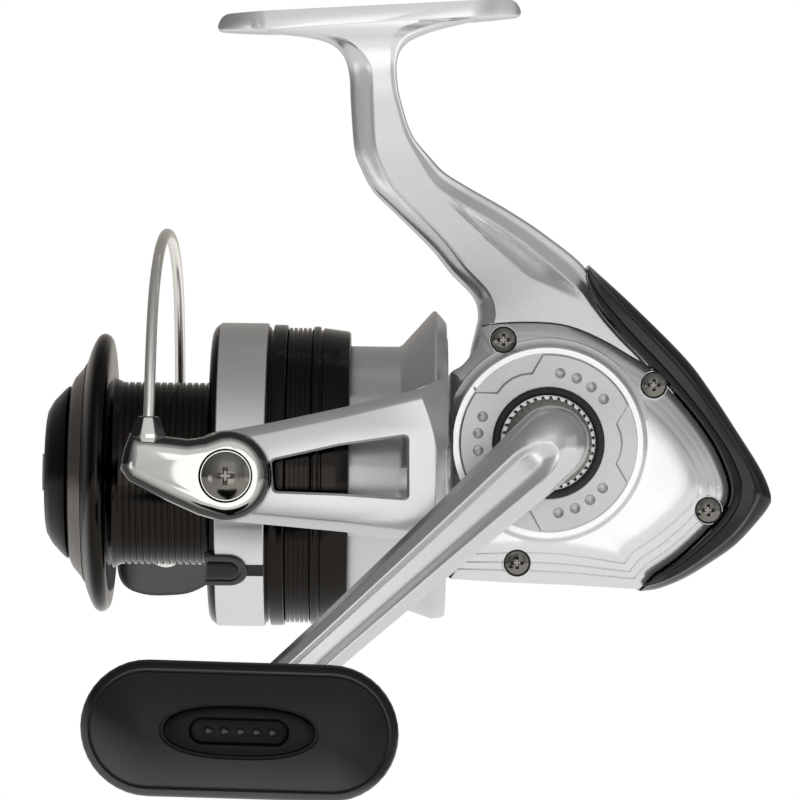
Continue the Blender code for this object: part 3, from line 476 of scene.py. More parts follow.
# Lighter copy of the spool's anodising for its front cone: painted reflection of warm grey.
SPOOL_CONE_PAINTED_REFLECTION = bare_metal("satin_anodised_painted_reflection", (0.21, 0.19, 0.175), 0.24, 400, (0.05, 1, 1), 0.02)
BLACK = plastic("black_plastic", (0.006, 0.006, 0.0062), 0.33, 1800, 0.05, 0, 0.40)
GLOSS = plastic("gloss_black", (0.010, 0.010, 0.011), 0.14, 300, 0.01, 0.5)
GUARD_BLACK = plastic("guard_black", (0.004, 0.004, 0.0043), 0.20, 600, 0.02, 0.3, 0.3)
DRAG_BLACK = plastic("drag_black", (0.0015, 0.0015, 0.0015), 0.22, 600, 0.02, 0, 0.22)
INLAY_BLACK = plastic("inlay_black", (0.002, 0.002, 0.002), 0.30, 900, 0.02, 0, 0.15)
# Black rubber for the seal ring; the seam strip and the screw rings use it as painted shade.
RUBBER_AND_PAINTED_SHADE = plastic("black_rubber", (0.014, 0.014, 0.014), 0.55, 1500, 0.10)
BRASS = bare_metal("brass", (0.60, 0.45, 0.20), 0.28, 600)
ZINC = bare_metal("zinc_alloy", (0.40, 0.40, 0.41), 0.42, 800)
FIBRE = plastic("carbon_fibre", (0.04, 0.04, 0.04), 0.5, 2500, 0.3)

SLOT_LOOKS = {
    "silver_paint": SILVER, "rotor_silver": ROTOR_SILVER, "satin_aluminium": ALUMINIUM,
    "black_plastic": BLACK, "gloss_black": GLOSS, "black_rubber": RUBBER_AND_PAINTED_SHADE,
    "dark_anodised": SPOOL_DARK, "polished_chrome": CHROME, "steel": STEEL, "brass": BRASS,
    "zinc_alloy": ZINC, "carbon_fibre": FIBRE,
}


def dress_cad_nodes():
    """The hidden mechanism keeps its CAD shape and gets the better materials."""
    slots = {entry["node"]: entry["material_slot"] for entry in frame["record"]["subparts"]}
    for name, node in NODES.items():
        for slot in node.material_slots:
            slot.material = SLOT_LOOKS[slots[name]]


# ---------------------------------------------------------------- foot, stem and body

FOOT_SIDE = [
    (-33.1, -5.3), (-31.6, -2), (31.6, 2), (33.2, -1.2), (20, -2.2), (0, -3.6), (-20, -5.3),
]
STEM_SECTIONS = [
    # front point, rear point, half depth, width of the front flank
    ((-27, -5), (23, -2), 7.2, 2),
    ((-19, -5.5), (15.4, -3.9), 6.9, 2.6),
    ((-12, -6.4), (10.9, -5.5), 6.4, 3.2),
    ((-7.8, -7.9), (8, -7.2), 5.7, 3.8),
    ((-5.5, -10.2), (6.5, -9.4), 5.1, 4.2),
    ((-4.5, -12.8), (6, -12.2), 4.7, 4.9),
    ((-4, -16), (6.2, -15.8), 4.6, 5),
    ((-3.8, -20.3), (7, -20), 4.6, 5),
    ((-2.9, -30.2), (9.5, -27.3), 4.9, 4.8),
    ((-1.4, -34.5), (13.5, -32.2), 5.2, 4.6),
    ((1.4, -39.5), (16.8, -35.5), 5.7, 4.4),
    ((5.9, -43.9), (22.2, -38.8), 6.4, 4),
    ((13.7, -51.4), (30.1, -43.3), 8, 3.4),
    ((18.4, -57), (38.3, -48.7), 9.8, 3.2),
    ((23.2, -61.9), (47.2, -56.2), 12, 3.2),
    ((24.4, -65.7), (49.9, -64.4), 13.6, 3.4),
    ((23.9, -69), (54.8, -70.4), 14.6, 3.4),
    ((22.8, -74), (59.6, -75.4), 15.2, 3.8),
    ((21.5, -82), (66, -82.4), 15.4, 4),
]
RIDGE = [(23, -1), (5.6, -5), (5.3, -14), (6, -20), (8, -27.8), (11, -33.5), (13.7, -37.8),
         (16.3, -40.1), (33.6, -50.8), (51.5, -66.5), (61.5, -74.3), (66, -83)]
LEAF = [(22, -1), (5.1, -5), (4.8, -14), (5.5, -20.2), (7.5, -28.1), (10.5, -33.9), (13.3, -38.2),
        (16.1, -40.7), (21.8, -46.1), (26.7, -50.9), (31.7, -55.4), (35.3, -57.9), (38.8, -59.3),
        (46.2, -62.9), (51.2, -66.9), (61.2, -74.7), (65.5, -83)]
LEAF_DEPTH = 2.4
STEM_STEPS = 9
FOOT_HALF = 7.5
FLANK_SHAPE = [
    # share of the flank's width, share of the half depth
    (0, 0.30), (0.02, 0.50), (0.06, 0.62), (0.12, 0.70), (0.24, 0.765), (0.42, 0.83), (0.62, 0.885),
    (0.80, 0.925), (0.87, 0.945), (0.94, 0.985), (1, 1),
]
COVER_TOP = [(18.4, -78.4), (20.6, -77.2), (22.8, -74.8), (24.2, -71.8), (25, -68.7), (31, -67.9),
             (39.4, -67.9), (45.3, -69.1), (51.8, -72), (56.2, -74.5), (61, -77.2)]
GUARD_INNER = [(47, -57.4), (47.5, -60), (49.3, -63.6), (55, -70.8), (62, -78),
               (65.9, -81.9), (70.9, -87.7), (74.9, -93.5), (77.5, -99.2), (78.3, -103),
               (77.4, -106.6), (74, -111.3), (67.7, -117.4), (62.2, -121.4)]
GUARD_OUTER = [(47.6, -55.2), (57, -63.6), (68.2, -74.5), (73.8, -81.6), (79.4, -89.9),
               (85, -98.6), (87.2, -104), (86.8, -106.2), (84.3, -109.6), (79.7, -114.6),
               (74.3, -118.5), (68.8, -121.9), (63.3, -124.2), (59.4, -124.8)]
BODY_BOTTOM = [(59.2, -124.3), (44.1, -123.6), (30.2, -123.2), (18.4, -122.6)]


def smooth_points(points, steps):
    """A smoothed side-view line as flat vectors."""
    return [Vector(p) for p in smooth_line(points, steps)]


RIDGE_LINE = smooth_points(RIDGE, 4)
LEAF_LINE = smooth_points(LEAF, 4)


def body_outline():
    """Side outline of the gear case: top seam, rear edge inside the guard, bottom."""
    rear = shift_line(smooth_line(GUARD_INNER[4:], 4), -0.35, False)[1:]
    return smooth_line(COVER_TOP, 3) + rear + BODY_BOTTOM


def crossing(front, rear, line):
    """Distance from front at which the section crosses a line, or None."""
    span = rear - front
    for a, b in zip(line, line[1:]):
        edge = b - a
        gap = a - front
        cross = span.x * edge.y - span.y * edge.x
        if abs(cross) < 1e-9:
            continue
        along = (gap.x * edge.y - gap.y * edge.x) / cross
        share = (gap.x * span.y - gap.y * span.x) / cross
        if 0 <= along <= 1 and 0 <= share <= 1:
            return along * span.length
    return None


def signed_distance(point, line):
    """Distance to a line, positive on its right-hand side as it runs down the stem."""
    best = None
    for a, b in zip(line, line[1:]):
        edge = b - a
        share = min(max((point - a).dot(edge) / edge.length_squared, 0), 1)
        gap = point - (a + edge * share)
        if best is None or gap.length < best[0]:
            best = (gap.length, edge.x * gap.y - edge.y * gap.x)
    return copysign(best[0], best[1])


def leaf_profile(share):
    """Floor of the scoop: a small lip, a long slope, then a steep wall up to the ridge."""
    if share < 0.15:
        return 0.40 * smooth_step(0, 0.15, share)
    if share < 0.84:
        return 0.40 + 0.60 * (share - 0.15) / 0.69
    return 1 - smooth_step(0.84, 1, share)


def scoop_depth(point):
    """How far the face is hollowed between the leaf's edge and the ridge."""
    inside = signed_distance(point, LEAF_LINE)
    beyond = -signed_distance(point, RIDGE_LINE)
    if inside <= 0 or beyond <= 0:
        return 0
    width = inside + beyond
    return LEAF_DEPTH * smooth_step(0.5, 4.2, width) * leaf_profile(inside / width)


def stem_ring(front, rear, half, flank, ridge):
    """One section: bevelled front flank, face with the scoop, ridge, long facet and rear edge."""
    length = (rear - front).length
    flank = min(flank, ridge - 1.5)
    room = length - ridge
    rim = min(0.2 * room, 0.8)
    start = ridge + min(0.35, 0.3 * room)
    facet = ridge + 0.62 * room
    low = half - 0.34 * (facet - ridge)
    samples = [(flank * share, half * level) for share, level in FLANK_SHAPE]
    for i in range(1, 37):
        u = flank + (ridge - flank) * i / 36
        samples.append((u, half - scoop_depth(front.lerp(rear, u / length))))
    for i in range(7):
        share = i / 6
        samples.append((start + (facet - start) * share, half + (low - half) * share))
    for i in range(1, 4):
        samples.append((facet + (length - rim - facet) * (i / 3), low))
    for i in range(1, 8):
        angle = 0.5 * pi * i / 7
        samples.append((length - rim + rim * sin(angle), low - 1.5 * rim * (1 - cos(angle))))
    near = []
    for u, depth in samples:
        point = front.lerp(rear, u / length)
        near.append((point.x, -depth, point.y))
    return near + [(x, -y, z) for x, y, z in reversed(near)]


def blur(values, reach):
    """Average each value with its neighbours."""
    result = []
    for i in range(len(values)):
        window = values[max(0, i - reach):i + reach + 1]
        result.append(sum(window) / len(window))
    return result


def stem_rings():
    """Every section down the stem, smoothed between the listed ones."""
    fronts = smooth_points([section[0] for section in STEM_SECTIONS], STEM_STEPS)
    rears = smooth_points([section[1] for section in STEM_SECTIONS], STEM_STEPS)
    sizes = smooth_line([section[2:] for section in STEM_SECTIONS], STEM_STEPS)
    ridges = []
    for front, rear in zip(fronts, rears):
        length = (rear - front).length
        ridges.append(min(crossing(front, rear, RIDGE_LINE) or length, length - 1.6))
    rings = []
    for front, rear, ridge, (half, flank) in zip(fronts, rears, blur(ridges, 4), sizes):
        rings.append(stem_ring(front, rear, half, flank, ridge))
    return rings


def make_foot():
    """Foot plate: its side outline cut to a rounded plan."""
    foot = plate("foot", round_corners(FOOT_SIDE, 1.6, 4), -FOOT_HALF, FOOT_HALF)
    plan = []
    for side in (1, -1):
        for i in range(33):
            angle = pi * (i / 32 - 0.5)
            x = side * (22 + 11.4 * cos(angle))
            y = side * FOOT_HALF * sin(angle) * (1 - 0.16 * cos(angle))
            plan.append((x, y))
    blank = loft("plan", [[(x, y, z) for x, y in plan] for z in (-20, 10)])
    combine(foot, [blank], "INTERSECT")
    return soften(foot, 0.7, 3, 50)


def make_housing():
    """Gear case with its stem, foot, rotor nose and far boss."""
    outline = body_outline()
    shell = plate("housing_body", outline, COVER_SEAT_Y, BODY_FAR_Y)
    soften(shell, 3, 5, 60)
    seat = plate("seat", inset(outline, -0.15), COVER_SEAT_Y - 12, COVER_SEAT_Y)
    guard_room = plate("room", inset(GUARD_OUTER + list(reversed(GUARD_INNER)), -0.1), -30, 30)
    join(shell, loft("stem", stem_rings()))
    cut(shell, seat, guard_room)
    boss = lathe_crank("far_boss", [(19, 9.3), (20.3, 9.3), (20.6, 9.6), (20.6, 12.4), (20.2, 13),
                                    (19, 15.5)], 96)
    join(shell, make_foot(), rod_x("nose", 1, 20, 14.5, 64), boss)
    place(shell, "frame", "housing", SILVER, 38)


def make_seam_shade_strip():
    """Dark strip along the seam above the cover: painted shade, standing in for the shadow in the seam's gap."""
    seam = smooth_line(COVER_TOP[4:], 3)
    sides = shift_line(seam, 0.2, False) + list(reversed(shift_line(seam, -0.2, False)))
    place(plate("cover_seam_shade_strip", sides, -14.9, -13.2), "frame", None, RUBBER_AND_PAINTED_SHADE, 60)


COVER_LEVELS = [
    # depth, distance in from the border, depth of the groove at the foot of each terrace
    (-13.1, 0, 0), (-15.3, 0, 0), (-15.65, 0.35, 0), (-16.5, 1.5, 0), (-16.95, 2.3, 0),
    (-17, 2.42, 0.3), (-17.1, 2.62, 0.3), (-17.2, 2.75, 0), (-17.75, 4.1, 0), (-17.8, 4.22, 0.3),
    (-17.9, 4.42, 0.3), (-18, 4.55, 0), (-18.5, 6.2, 0), (-18.55, 6.32, 0.25), (-18.65, 6.5, 0.25),
    (-18.75, 6.62, 0), (-19.25, 7.9, 0), (-19.5, 9.5, 0), (-19.55, 12, 0),
]


def towards_crank(outline, distance):
    """Move every point of an outline straight towards the crank's axis."""
    moved = []
    for x, z in outline:
        span = hypot(x - CRANK_X, z - CRANK_Z)
        share = max(span - distance, 0.5 * span) / span
        moved.append((CRANK_X + (x - CRANK_X) * share, CRANK_Z + (z - CRANK_Z) * share))
    return moved


def make_screw_post(cover, outline, x, z):
    """Raised post and recess for one cover screw, with a dark ring in the recess as painted shade round the head.
    """
    post = lathe_y("post", [(-18.3, 0), (-18.3, 2.98), (-18.05, 3.12), (-14, 3.3), (-14, 0)], 48, x, z)
    combine(post, [plate("edge", inset(outline, 0.05), -40, 0)], "INTERSECT")
    join(cover, post)
    cut(cover, rod_y("recess", -24, -16.8, 2.9, 48, x, z))
    shade_ring = lathe_y("screw_shade_ring", [(-17.5, 2.3), (-17.5, 2.88), (-16.8, 2.88), (-16.8, 2.3)], 48, x, z)
    place(shade_ring, "frame", None, RUBBER_AND_PAINTED_SHADE, 40)


def make_side_cover():
    """Cover with a stepped, sloping border and the raised round seat."""
    outline = inset(body_outline(), 0.2)
    loop = resample(outline + outline[:1], 261)[:-1]
    rings = []
    for y, distance, groove in COVER_LEVELS:
        ring = []
        for x, z in towards_crank(loop, distance):
            ring.append((x, y + groove * smooth_step(-98, -112, z), z))
        rings.append(ring)
    cover = loft("side_cover_shell", rings)
    raised = lathe_crank("raised", [(SIDE_RING_Y, 0), (SIDE_RING_Y, 20.1), (SIDE_RING_Y + 0.25, 20.4),
                                    (-19.8, 20.9), (-19.45, 21.3), (-19.2, 22.1), (-16, 22.6),
                                    (-16, 0)], 128)
    combine(raised, [plate("front", inset(outline, 0.4), -40, 0)], "INTERSECT")
    join(cover, raised)
    cut(cover, lathe_crank("bore", [(-26, 0), (-26, 18.95), (-20.2, 18.95), (-20.2, 5),
                                    (-10, 5), (-10, 0)], 128))
    for x, z in COVER_SCREWS:
        make_screw_post(cover, outline, x, z)
    place(cover, "frame", "side_cover", SILVER, 30)


def crank_points(outline, middle, y):
    """Turn (degrees, radius) points round the crank's axis into a ring at one depth."""
    ring = []
    for turn, radius in outline:
        angle = radians(middle + turn)
        ring.append((CRANK_X + radius * cos(angle), y, CRANK_Z + radius * sin(angle)))
    return ring


def plate_pocket(middle):
    """Cutter for one pocket, open to the plate's rim and narrower at its floor."""
    rings = []
    for y, grow in ((-24, 0.45), (PLATE_FACE_Y, 0.1), (-22.2, -0.25), (-22.1, -0.4)):
        outline = []
        for turn, radius in ((-16.5, 14.9), (-8, 15.3), (0, 15.45), (8, 15.3), (16.5, 14.9)):
            outline.append((turn * (1 + grow * 0.05), radius - grow))
        outline += [(26.6 + grow * 2, 18.8), (28 + grow * 2, 21), (0, 24),
                    (-28 - grow * 2, 21), (-26.6 - grow * 2, 18.8)]
        rings.append(crank_points(outline, middle, y))
    return loft("pocket", rings)


def make_side_plate():
    """Round plate with dimples and three pockets open to its rim."""
    disc = lathe_crank("side_plate_disc", [(PLATE_FACE_Y, 11.9), (PLATE_FACE_Y, 18.45), (-22.95, 18.75),
                                           (-19.8, 18.75), (-19.8, 11.9)], 144)
    dimple = [(-24, 0), (-24, 1.2), (PLATE_FACE_Y, 1.12), (-22.9, 0.98), (-22.6, 0.55), (-22.5, 0)]
    for group in (60, 180, 300):
        for x, _, z in crank_points([(step, 14.9) for step in (-21, -7, 7, 21)], group, 0):
            cut(disc, lathe_y("dimple", dimple, 20, x, z))
    for middle in (0, 120, 240):
        cut(disc, plate_pocket(middle))
    place(disc, "frame", "side_plate", PLATE_SILVER, 30)


def make_seal_ring():
    """Soft black ring round the handle's boss."""
    ring = lathe_crank("seal_ring_soft", [(-24.2, 10.4), (-24.35, 10.9), (-24.2, 11.5), (-23.9, 11.75),
                                          (-20, 11.75), (-20, 10.1), (-23.9, 10.1)], 128)
    place(ring, "frame", "seal_ring", RUBBER_AND_PAINTED_SHADE, 60)


def phillips(x, z, size, face):
    """Cross recess that narrows towards its bottom, as one cutter for each bar."""
    cutters = []
    for wide, tall in ((size, size * 0.27), (size * 0.27, size)):
        rings = []
        for level, share in ((-0.8, 1), (0, 0.92), (1, 0.45)):
            w = wide * share
            t = tall * share
            y = face + level
            rings.append([(x - w, y, z - t), (x + w, y, z - t), (x + w, y, z + t), (x - w, y, z + t)])
        cutters.append(loft("cross", rings))
    return cutters


def make_screw(body, node, x, z, face, head_r, shank_r, length, dome, cross):
    """Domed screw whose head faces the handle side, with a cross of the given share of the head."""
    profile = [(0, 0)]
    for i in range(1, 9):
        share = i / 8
        profile.append((dome * share ** 2.4, head_r * share))
    profile += [(dome + 0.25, head_r), (1.5, head_r * 0.98), (1.5, shank_r), (length, shank_r), (length, 0)]
    screw = lathe_y(node + "_head", [(face + a, r) for a, r in profile], 40, x, z)
    cut(screw, *phillips(x, z, head_r * cross, face + 0.05))
    place(screw, body, node, NICKEL_AND_COLLAR_SHADE, 35)


GUARD_SECTION = [
    # share of the way from the inner to the outer line, depth from the middle plane
    (0, 14.4), (0, 16.7), (0.05, 17.25), (0.13, 17.4), (0.24, 17.2), (0.30, 16.7), (0.36, 16.75),
    (0.58, 17), (0.64, 16.85), (0.72, 15.7), (0.80, 15.2), (0.94, 13.6), (0.985, 12.7), (1, 11.2),
    (1, 6),
]


def make_guard():
    """Rear guard: a channel whose outside is folded into three long facets."""
    count = 64
    inner = resample(smooth_line(GUARD_INNER, 6), count)
    outer = resample(smooth_line(GUARD_OUTER, 6), count)
    rings = []
    for i, (a, b) in enumerate(zip(inner, outer)):
        a = Vector(a)
        b = Vector(b)
        wall = a.lerp(b, 1 - min(1.4 / (b - a).length, 0.45))
        fade = smooth_step(0, 6, min(i, count - 1 - i))
        side = []
        for share, y in GUARD_SECTION:
            point = a.lerp(b, share)
            side.append((point.x, y - 0.8 * (1 - fade) * smooth_step(0.1, 1, share), point.y))
        ring = [(x, -y, z) for x, y, z in side] + list(reversed(side))
        rings.append(ring + [(wall.x, 14.4, wall.y), (wall.x, -14.4, wall.y)])
    guard = loft("rear_guard_folded", rings)
    place(guard, "frame", "rear_guard", GUARD_BLACK, 22)


# ---------------------------------------------------------------- spool and drag knob

def wave(start, pitch, count, high, low):
    """Profile points of grooves: flat tops with narrow dips."""
    points = []
    for i in range(count):
        base = start + i * pitch
        points += [(base, high), (base + pitch * 0.62, high), (base + pitch * 0.72, low),
                   (base + pitch * 0.90, low)]
    points.append((start + count * pitch, high))
    return points


SPOOL_LIP = [(-62.7, 19.2), (-62.1, 20.5), (-60.6, 22.2), (-59.6, 23.8), (-58.9, 26), (-58, 28.2),
             (-57.1, 29.55), (-56, 30), (-54.9, 29.5), (-54.2, 28.2), (-53.9, 25), (-53.8, 22),
             (-53.5, 20.6), (-52.3, 19.9)]


def make_spool():
    """Spool with its ribbed arbor and skirt, the cone ring in front painted bright as a warm grey reflection, and
    the satin band.
    """
    profile = [(-62.7, 14.2)] + smooth_line(SPOOL_LIP, 4)
    profile += wave(-51.9, 1.38, 13, 19.65, 19.2)
    profile += [(-33.3, 19.8), (-32.9, 20.4), (-32.75, 29.6), (-32.6, 30.6), (-32.1, 31.6), (-31.3, 32.3),
                (-31.05, 32.35), (-31.05, 31.2), (-20.65, 31.2), (-20.65, 31.9), (-20.2, 31.9),
                (-20, 31.2), (-19.7, 31.2), (-19.5, 32.3), (-19.2, 32.45), (-16.8, 32.4), (-16.55, 32.2),
                (-16.4, 31.3)]
    profile += wave(-16.2, 1, 5, 31.8, 31.2)
    profile += [(-11.1, 31.3), (-10.95, 32), (-10.7, 32.15), (-9.7, 32.15), (-9.45, 32), (-9.3, 31.3),
                (-9, 31.3), (-8.8, 31.75), (-8.5, 31.8), (-3.7, 31.2), (-3.2, 31), (-3, 30.6),
                (-3, 28.8), (-29, 28.8), (-29, 17), (-47.5, 16.5), (-47.5, 8), (-28.5, 8),
                (-28.5, 2.05), (-50.5, 2.05), (-50.5, 14.2)]
    spool = lathe_x("spool_turned", profile, 160)
    place(spool, "spool_assembly", "spool", SPOOL_DARK, 32)
    front = lathe_x("spool_cone", [(-62.78, 18.9), (-62.78, 19.3), (-62.2, 20.55), (-60.7, 22.25),
                                   (-59.75, 23.7), (-59.7, 23.4), (-60.6, 22), (-62, 20.2),
                                   (-62.5, 19)], 160)
    place(front, "spool_assembly", None, SPOOL_CONE_PAINTED_REFLECTION, 40)
    band = lathe_x("spool_band_ring", [(-31, 31.25), (-31, 32.5), (-30.8, 32.7), (-20.9, 32.7),
                                       (-20.7, 32.5), (-20.7, 31.25)], 160)
    place(band, "spool_assembly", "spool_band", BAND, 35)


CLIP_MIDDLE = radians(217.7)


def bent_plate(name, outline, low, high):
    """An outline on the skirt between two radii; its second measure runs round the surface."""
    rings = []
    for radius in (low, high):
        ring = []
        for x, across in outline:
            turn = CLIP_MIDDLE + across / radius
            ring.append((x, radius * cos(turn), AXIS_Z + radius * sin(turn)))
        rings.append(ring)
    return loft(name, rings)


def tongue(front, rear, half):
    """Outline with a square front and a round rear end."""
    outline = [(front, -half)]
    for i in range(17):
        angle = pi * (i / 16 - 0.5)
        outline.append((rear - half + half * cos(angle), half * sin(angle)))
    return outline + [(front, half)]


def make_clip():
    """U-shaped line clip and the narrow bar behind it, curved to the skirt."""
    loop = bent_plate("clip_loop", tongue(-33, -24, 4), 31.6, 33.3)
    cut(loop, bent_plate("inside", tongue(-34, -25.4, 2.7), 32.75, 34))
    soften(loop, 0.2, 2, 40)
    place(loop, "spool_assembly", "line_clip", GLOSS, 40)
    face = bent_plate("clip_face", tongue(-32.6, -26, 1.9), 32, 33.15)
    soften(face, 0.5, 3, 50)
    place(face, "spool_assembly", None, BLACK, 50)
    bar = bent_plate("clip_bar", [(-24.6, -1.5), (-20.72, -1.5), (-20.72, 1.5), (-24.6, 1.5)], 31.8, 32.76)
    place(bar, "spool_assembly", None, BLACK, 50)


def make_drag_knob():
    """Domed knob with a grip bar left between two pockets."""
    dome = smooth_line([(-69, 0.01), (-68.95, 5), (-68.55, 10), (-67.9, 13.4)], 6)
    profile = [(-69, 0)] + dome[1:]
    profile += [(-67.1, 14.8), (-66.6, 15.6), (-64.6, 17.7), (-63.8, 18.45), (-63.45, 18.6), (-63.2, 18.4),
                (-63.1, 17.8), (-63.1, 10), (-61, 8), (-56.6, 7.4), (-56.6, 4.8), (-61.4, 4.8),
                (-61.4, 2.05), (-66.2, 2.05), (-66.2, 0)]
    knob = lathe_x("drag_knob_cap", profile, 128)
    for side in (1, -1):
        outline = []
        for i in range(25):
            angle = radians(18 + 144 * i / 24)
            outline.append((12.6 * cos(angle), side * 12.6 * sin(angle)))
        rings = []
        for x, grow in ((-72, 1.03), (-68.2, 1), (-67.2, 0.93), (-67, 0.8)):
            rings.append([(x, y * grow, AXIS_Z + z * grow) for y, z in outline])
        cut(knob, loft("grip", rings))
    place(knob, "drag", "drag_knob", DRAG_BLACK, 28)


# ---------------------------------------------------------------- rotor and bail

ARM_TOP = [(-27, 9.6), (-19.8, 11), (-3.8, 14.6), (11.3, 18.6), (17.4, 21.3)]
NEAR_ARM_BOTTOM = [(17.4, -13.8), (7.6, -12.8), (-3.9, -11.4), (-19.8, -10.1), (-27, -9.6)]
FAR_ARM_BOTTOM = [(17.4, -6.8), (-18, -6.5), (-23, -7.6)]
NEAR_WINDOW = [(-19, 3.2), (-5, 6.5), (9.1, 8.7), (9.3, -4.2), (-5, -3.4), (-18.4, -3.1)]
FAR_WINDOW = [(-17, 3), (6, 8), (6, -2.6), (-17, -2.6)]
ROOT_X = 6.9


def raise_to_axis(outline):
    """Move heights from the rotor's axis to the frame."""
    return [(x, z + AXIS_Z) for x, z in outline]


def pivot_arc(start, end, radius, steps):
    """Arc round the bail's pivot, with heights from the rotor's axis."""
    points = []
    for i in range(steps + 1):
        angle = radians(start + (end - start) * i / steps)
        points.append((PIVOT_X + radius * cos(angle), radius * sin(angle)))
    return points


def make_rotor_arm(name, outline, window, side):
    """One arm: a plate with sloped borders and a deep root that joins the cup."""
    outer = raise_to_axis(outline)
    arm = terraces(name, outer, [(34.3, 0), (37.2, 0), (37.5, 0.2), (39.1, 1.9), (39.3, 2.3)], side)
    top = sorted((x, z) for x, z in outer if x > ROOT_X and z > AXIS_Z)
    low = sorted((x, z) for x, z in outer if x > ROOT_X and z < AXIS_Z)
    root = [(ROOT_X - 0.1, top[-1][1] - 4.6)] + top + list(reversed(low)) + [(ROOT_X - 0.1, low[0][1])]
    join(arm, plate("root", root, *sorted((side * 22, side * 37.3))))
    hole = round_corners(raise_to_axis(window), 0.8, 3)
    cut(arm, terraces("window", hole, [(15, 0), (38.7, 0), (39.4, -0.55), (50, -0.55)], side))
    return arm


def make_rotor():
    """Cup with a flared upper rim and two windowed arms."""
    cup = lathe_x("rotor_cup", [(-14, 0), (-14, 27.4), (-13.4, 28), (7.4, 28), (8.2, 28.3),
                                (14.4, 30.4), (15, 30.6), (17, 30.4), (17.8, 29.8), (17.8, 0)], 128)
    flare = lathe_x("flare", [(7, 26), (7.4, 28), (8.2, 28.5), (14.3, 35.4), (14.8, 35.8),
                              (15.3, 35.7), (17.1, 33.7), (17.5, 33), (17.5, 26)], 128)
    upper = plate("upper", [(0, AXIS_Z + 2), (30, AXIS_Z + 2), (30, AXIS_Z + 60),
                            (0, AXIS_Z + 60)], -50, 50)
    combine(flare, [upper], "INTERSECT")
    boss = pivot_arc(262, 98, 9.4, 20)
    near = make_rotor_arm("near_arm", ARM_TOP + NEAR_ARM_BOTTOM + boss, NEAR_WINDOW, -1)
    far = make_rotor_arm("far_arm", ARM_TOP + FAR_ARM_BOTTOM + boss, FAR_WINDOW, 1)
    join(cup, flare, near, far)
    envelope = lathe_x("envelope", [(-46, 0), (-46, 42.5), (-30, 43.6), (11, 43.6),
                                    (17.6, 37.6), (18.4, 35), (18.4, 0)], 128)
    combine(cup, [envelope], "INTERSECT")
    inside = lathe_x("inside", [(-10.8, 8), (-10.8, 24.6), (-10, 25.4), (8, 25.4), (18.6, 28.4),
                                (18.6, 0), (-2.4, 0), (-2.4, 8)], 96)
    cut(cup, inside, rod_x("bore", -20, 10, 3.95, 40))
    soften(cup, 0.35, 2, 38)
    place(cup, "rotor_assembly", "rotor", ROTOR_SILVER, 35)


WIRE_X = -44.4
WIRE_Y = -42.1
HOOP_R = 42.3
HOOP_RISE = 9.4
LEVER_OUTLINE = [(-29.5, 9.3), (-33, 8), (-36.2, 7.5), (-40.6, 8), (-48.3, 8.6), (-49.6, 5),
                 (-50.2, 1.1), (-48.4, -1.5), (-40, -5.6), (-34, -8.2)]


def wire_collar():
    """Eight-sided collar that holds the wire."""
    rings = []
    for height, wide, deep in ((3, 1.6, 1.5), (7.6, 3.95, 2.6), (8.3, 4.05, 2.7), (8.6, 3.95, 2.65),
                               (11.4, 2.75, 2.2), (11.9, 2.5, 2.1), (12.1, 2.1, 1.8)):
        ring = []
        for i in range(8):
            angle = 2 * pi * (i + 0.5) / 8
            ring.append((WIRE_X + 0.95 * wide * cos(angle), WIRE_Y + 0.85 * deep * sin(angle),
                         AXIS_Z + height))
        rings.append(ring)
    return soften(loft("collar", rings), 0.22, 2, 30)


def make_bail_lever():
    """Polished near lever with a broad bevel."""
    outline = raise_to_axis(LEVER_OUTLINE + pivot_arc(-98, 84, 9.5, 28))
    lever = terraces("bail_lever_polished", outline, [
        (-39.7, 0.5), (-40.2, 0.05), (-41.2, 0), (-42.3, 0.12), (-43.1, 0.5), (-43.7, 1.05),
        (-44.15, 1.75), (-44.4, 2.6), (-44.5, 3.3)])
    join(lever, wire_collar())
    recess = lathe_y("recess", [(-50, 0), (-50, 5.6), (-44.45, 5.6), (-44.1, 5.3), (-43, 5.2),
                                (-43, 2.3), (-30, 2.3), (-30, 0)], 64, PIVOT_X, AXIS_Z)
    cut(lever, recess)
    place(lever, "bail", "bail_lever", LEVER_CHROME_PAINTED_BANDS, 40)


FAR_LEVER = [(-30, 8.4), (-40, 2.5), (-49, -6), (-54, -14), (-55.2, -21), (-53.6, -25.6),
             (-49, -27.6), (-43, -27.7), (-38, -26.8), (-33.4, -23.6), (-28.5, -15.5), (-24.4, -7.6)]


def make_bail_arm():
    """Black far arm that carries the line roller."""
    outline = raise_to_axis(smooth_line(FAR_LEVER, 4) + pivot_arc(-60, 94, 8.6, 16))
    arm = terraces("bail_arm_moulded", outline, [
        (39.8, 0.6), (40.3, 0), (42.4, 0), (43.4, 0.5), (43.9, 1.4), (44, 2.4)])
    for shank, head, sides, x, z in ((2.3, 5, 48, PIVOT_X, AXIS_Z), (1.55, 3.2, 40, ROLLER_X, ROLLER_Z)):
        cut(arm, lathe_y("hole", [(30, 0), (30, shank), (43, shank), (43, head), (50, head),
                                  (50, 0)], sides, x, z))
    place(arm, "bail", "bail_arm", GLOSS, 30)


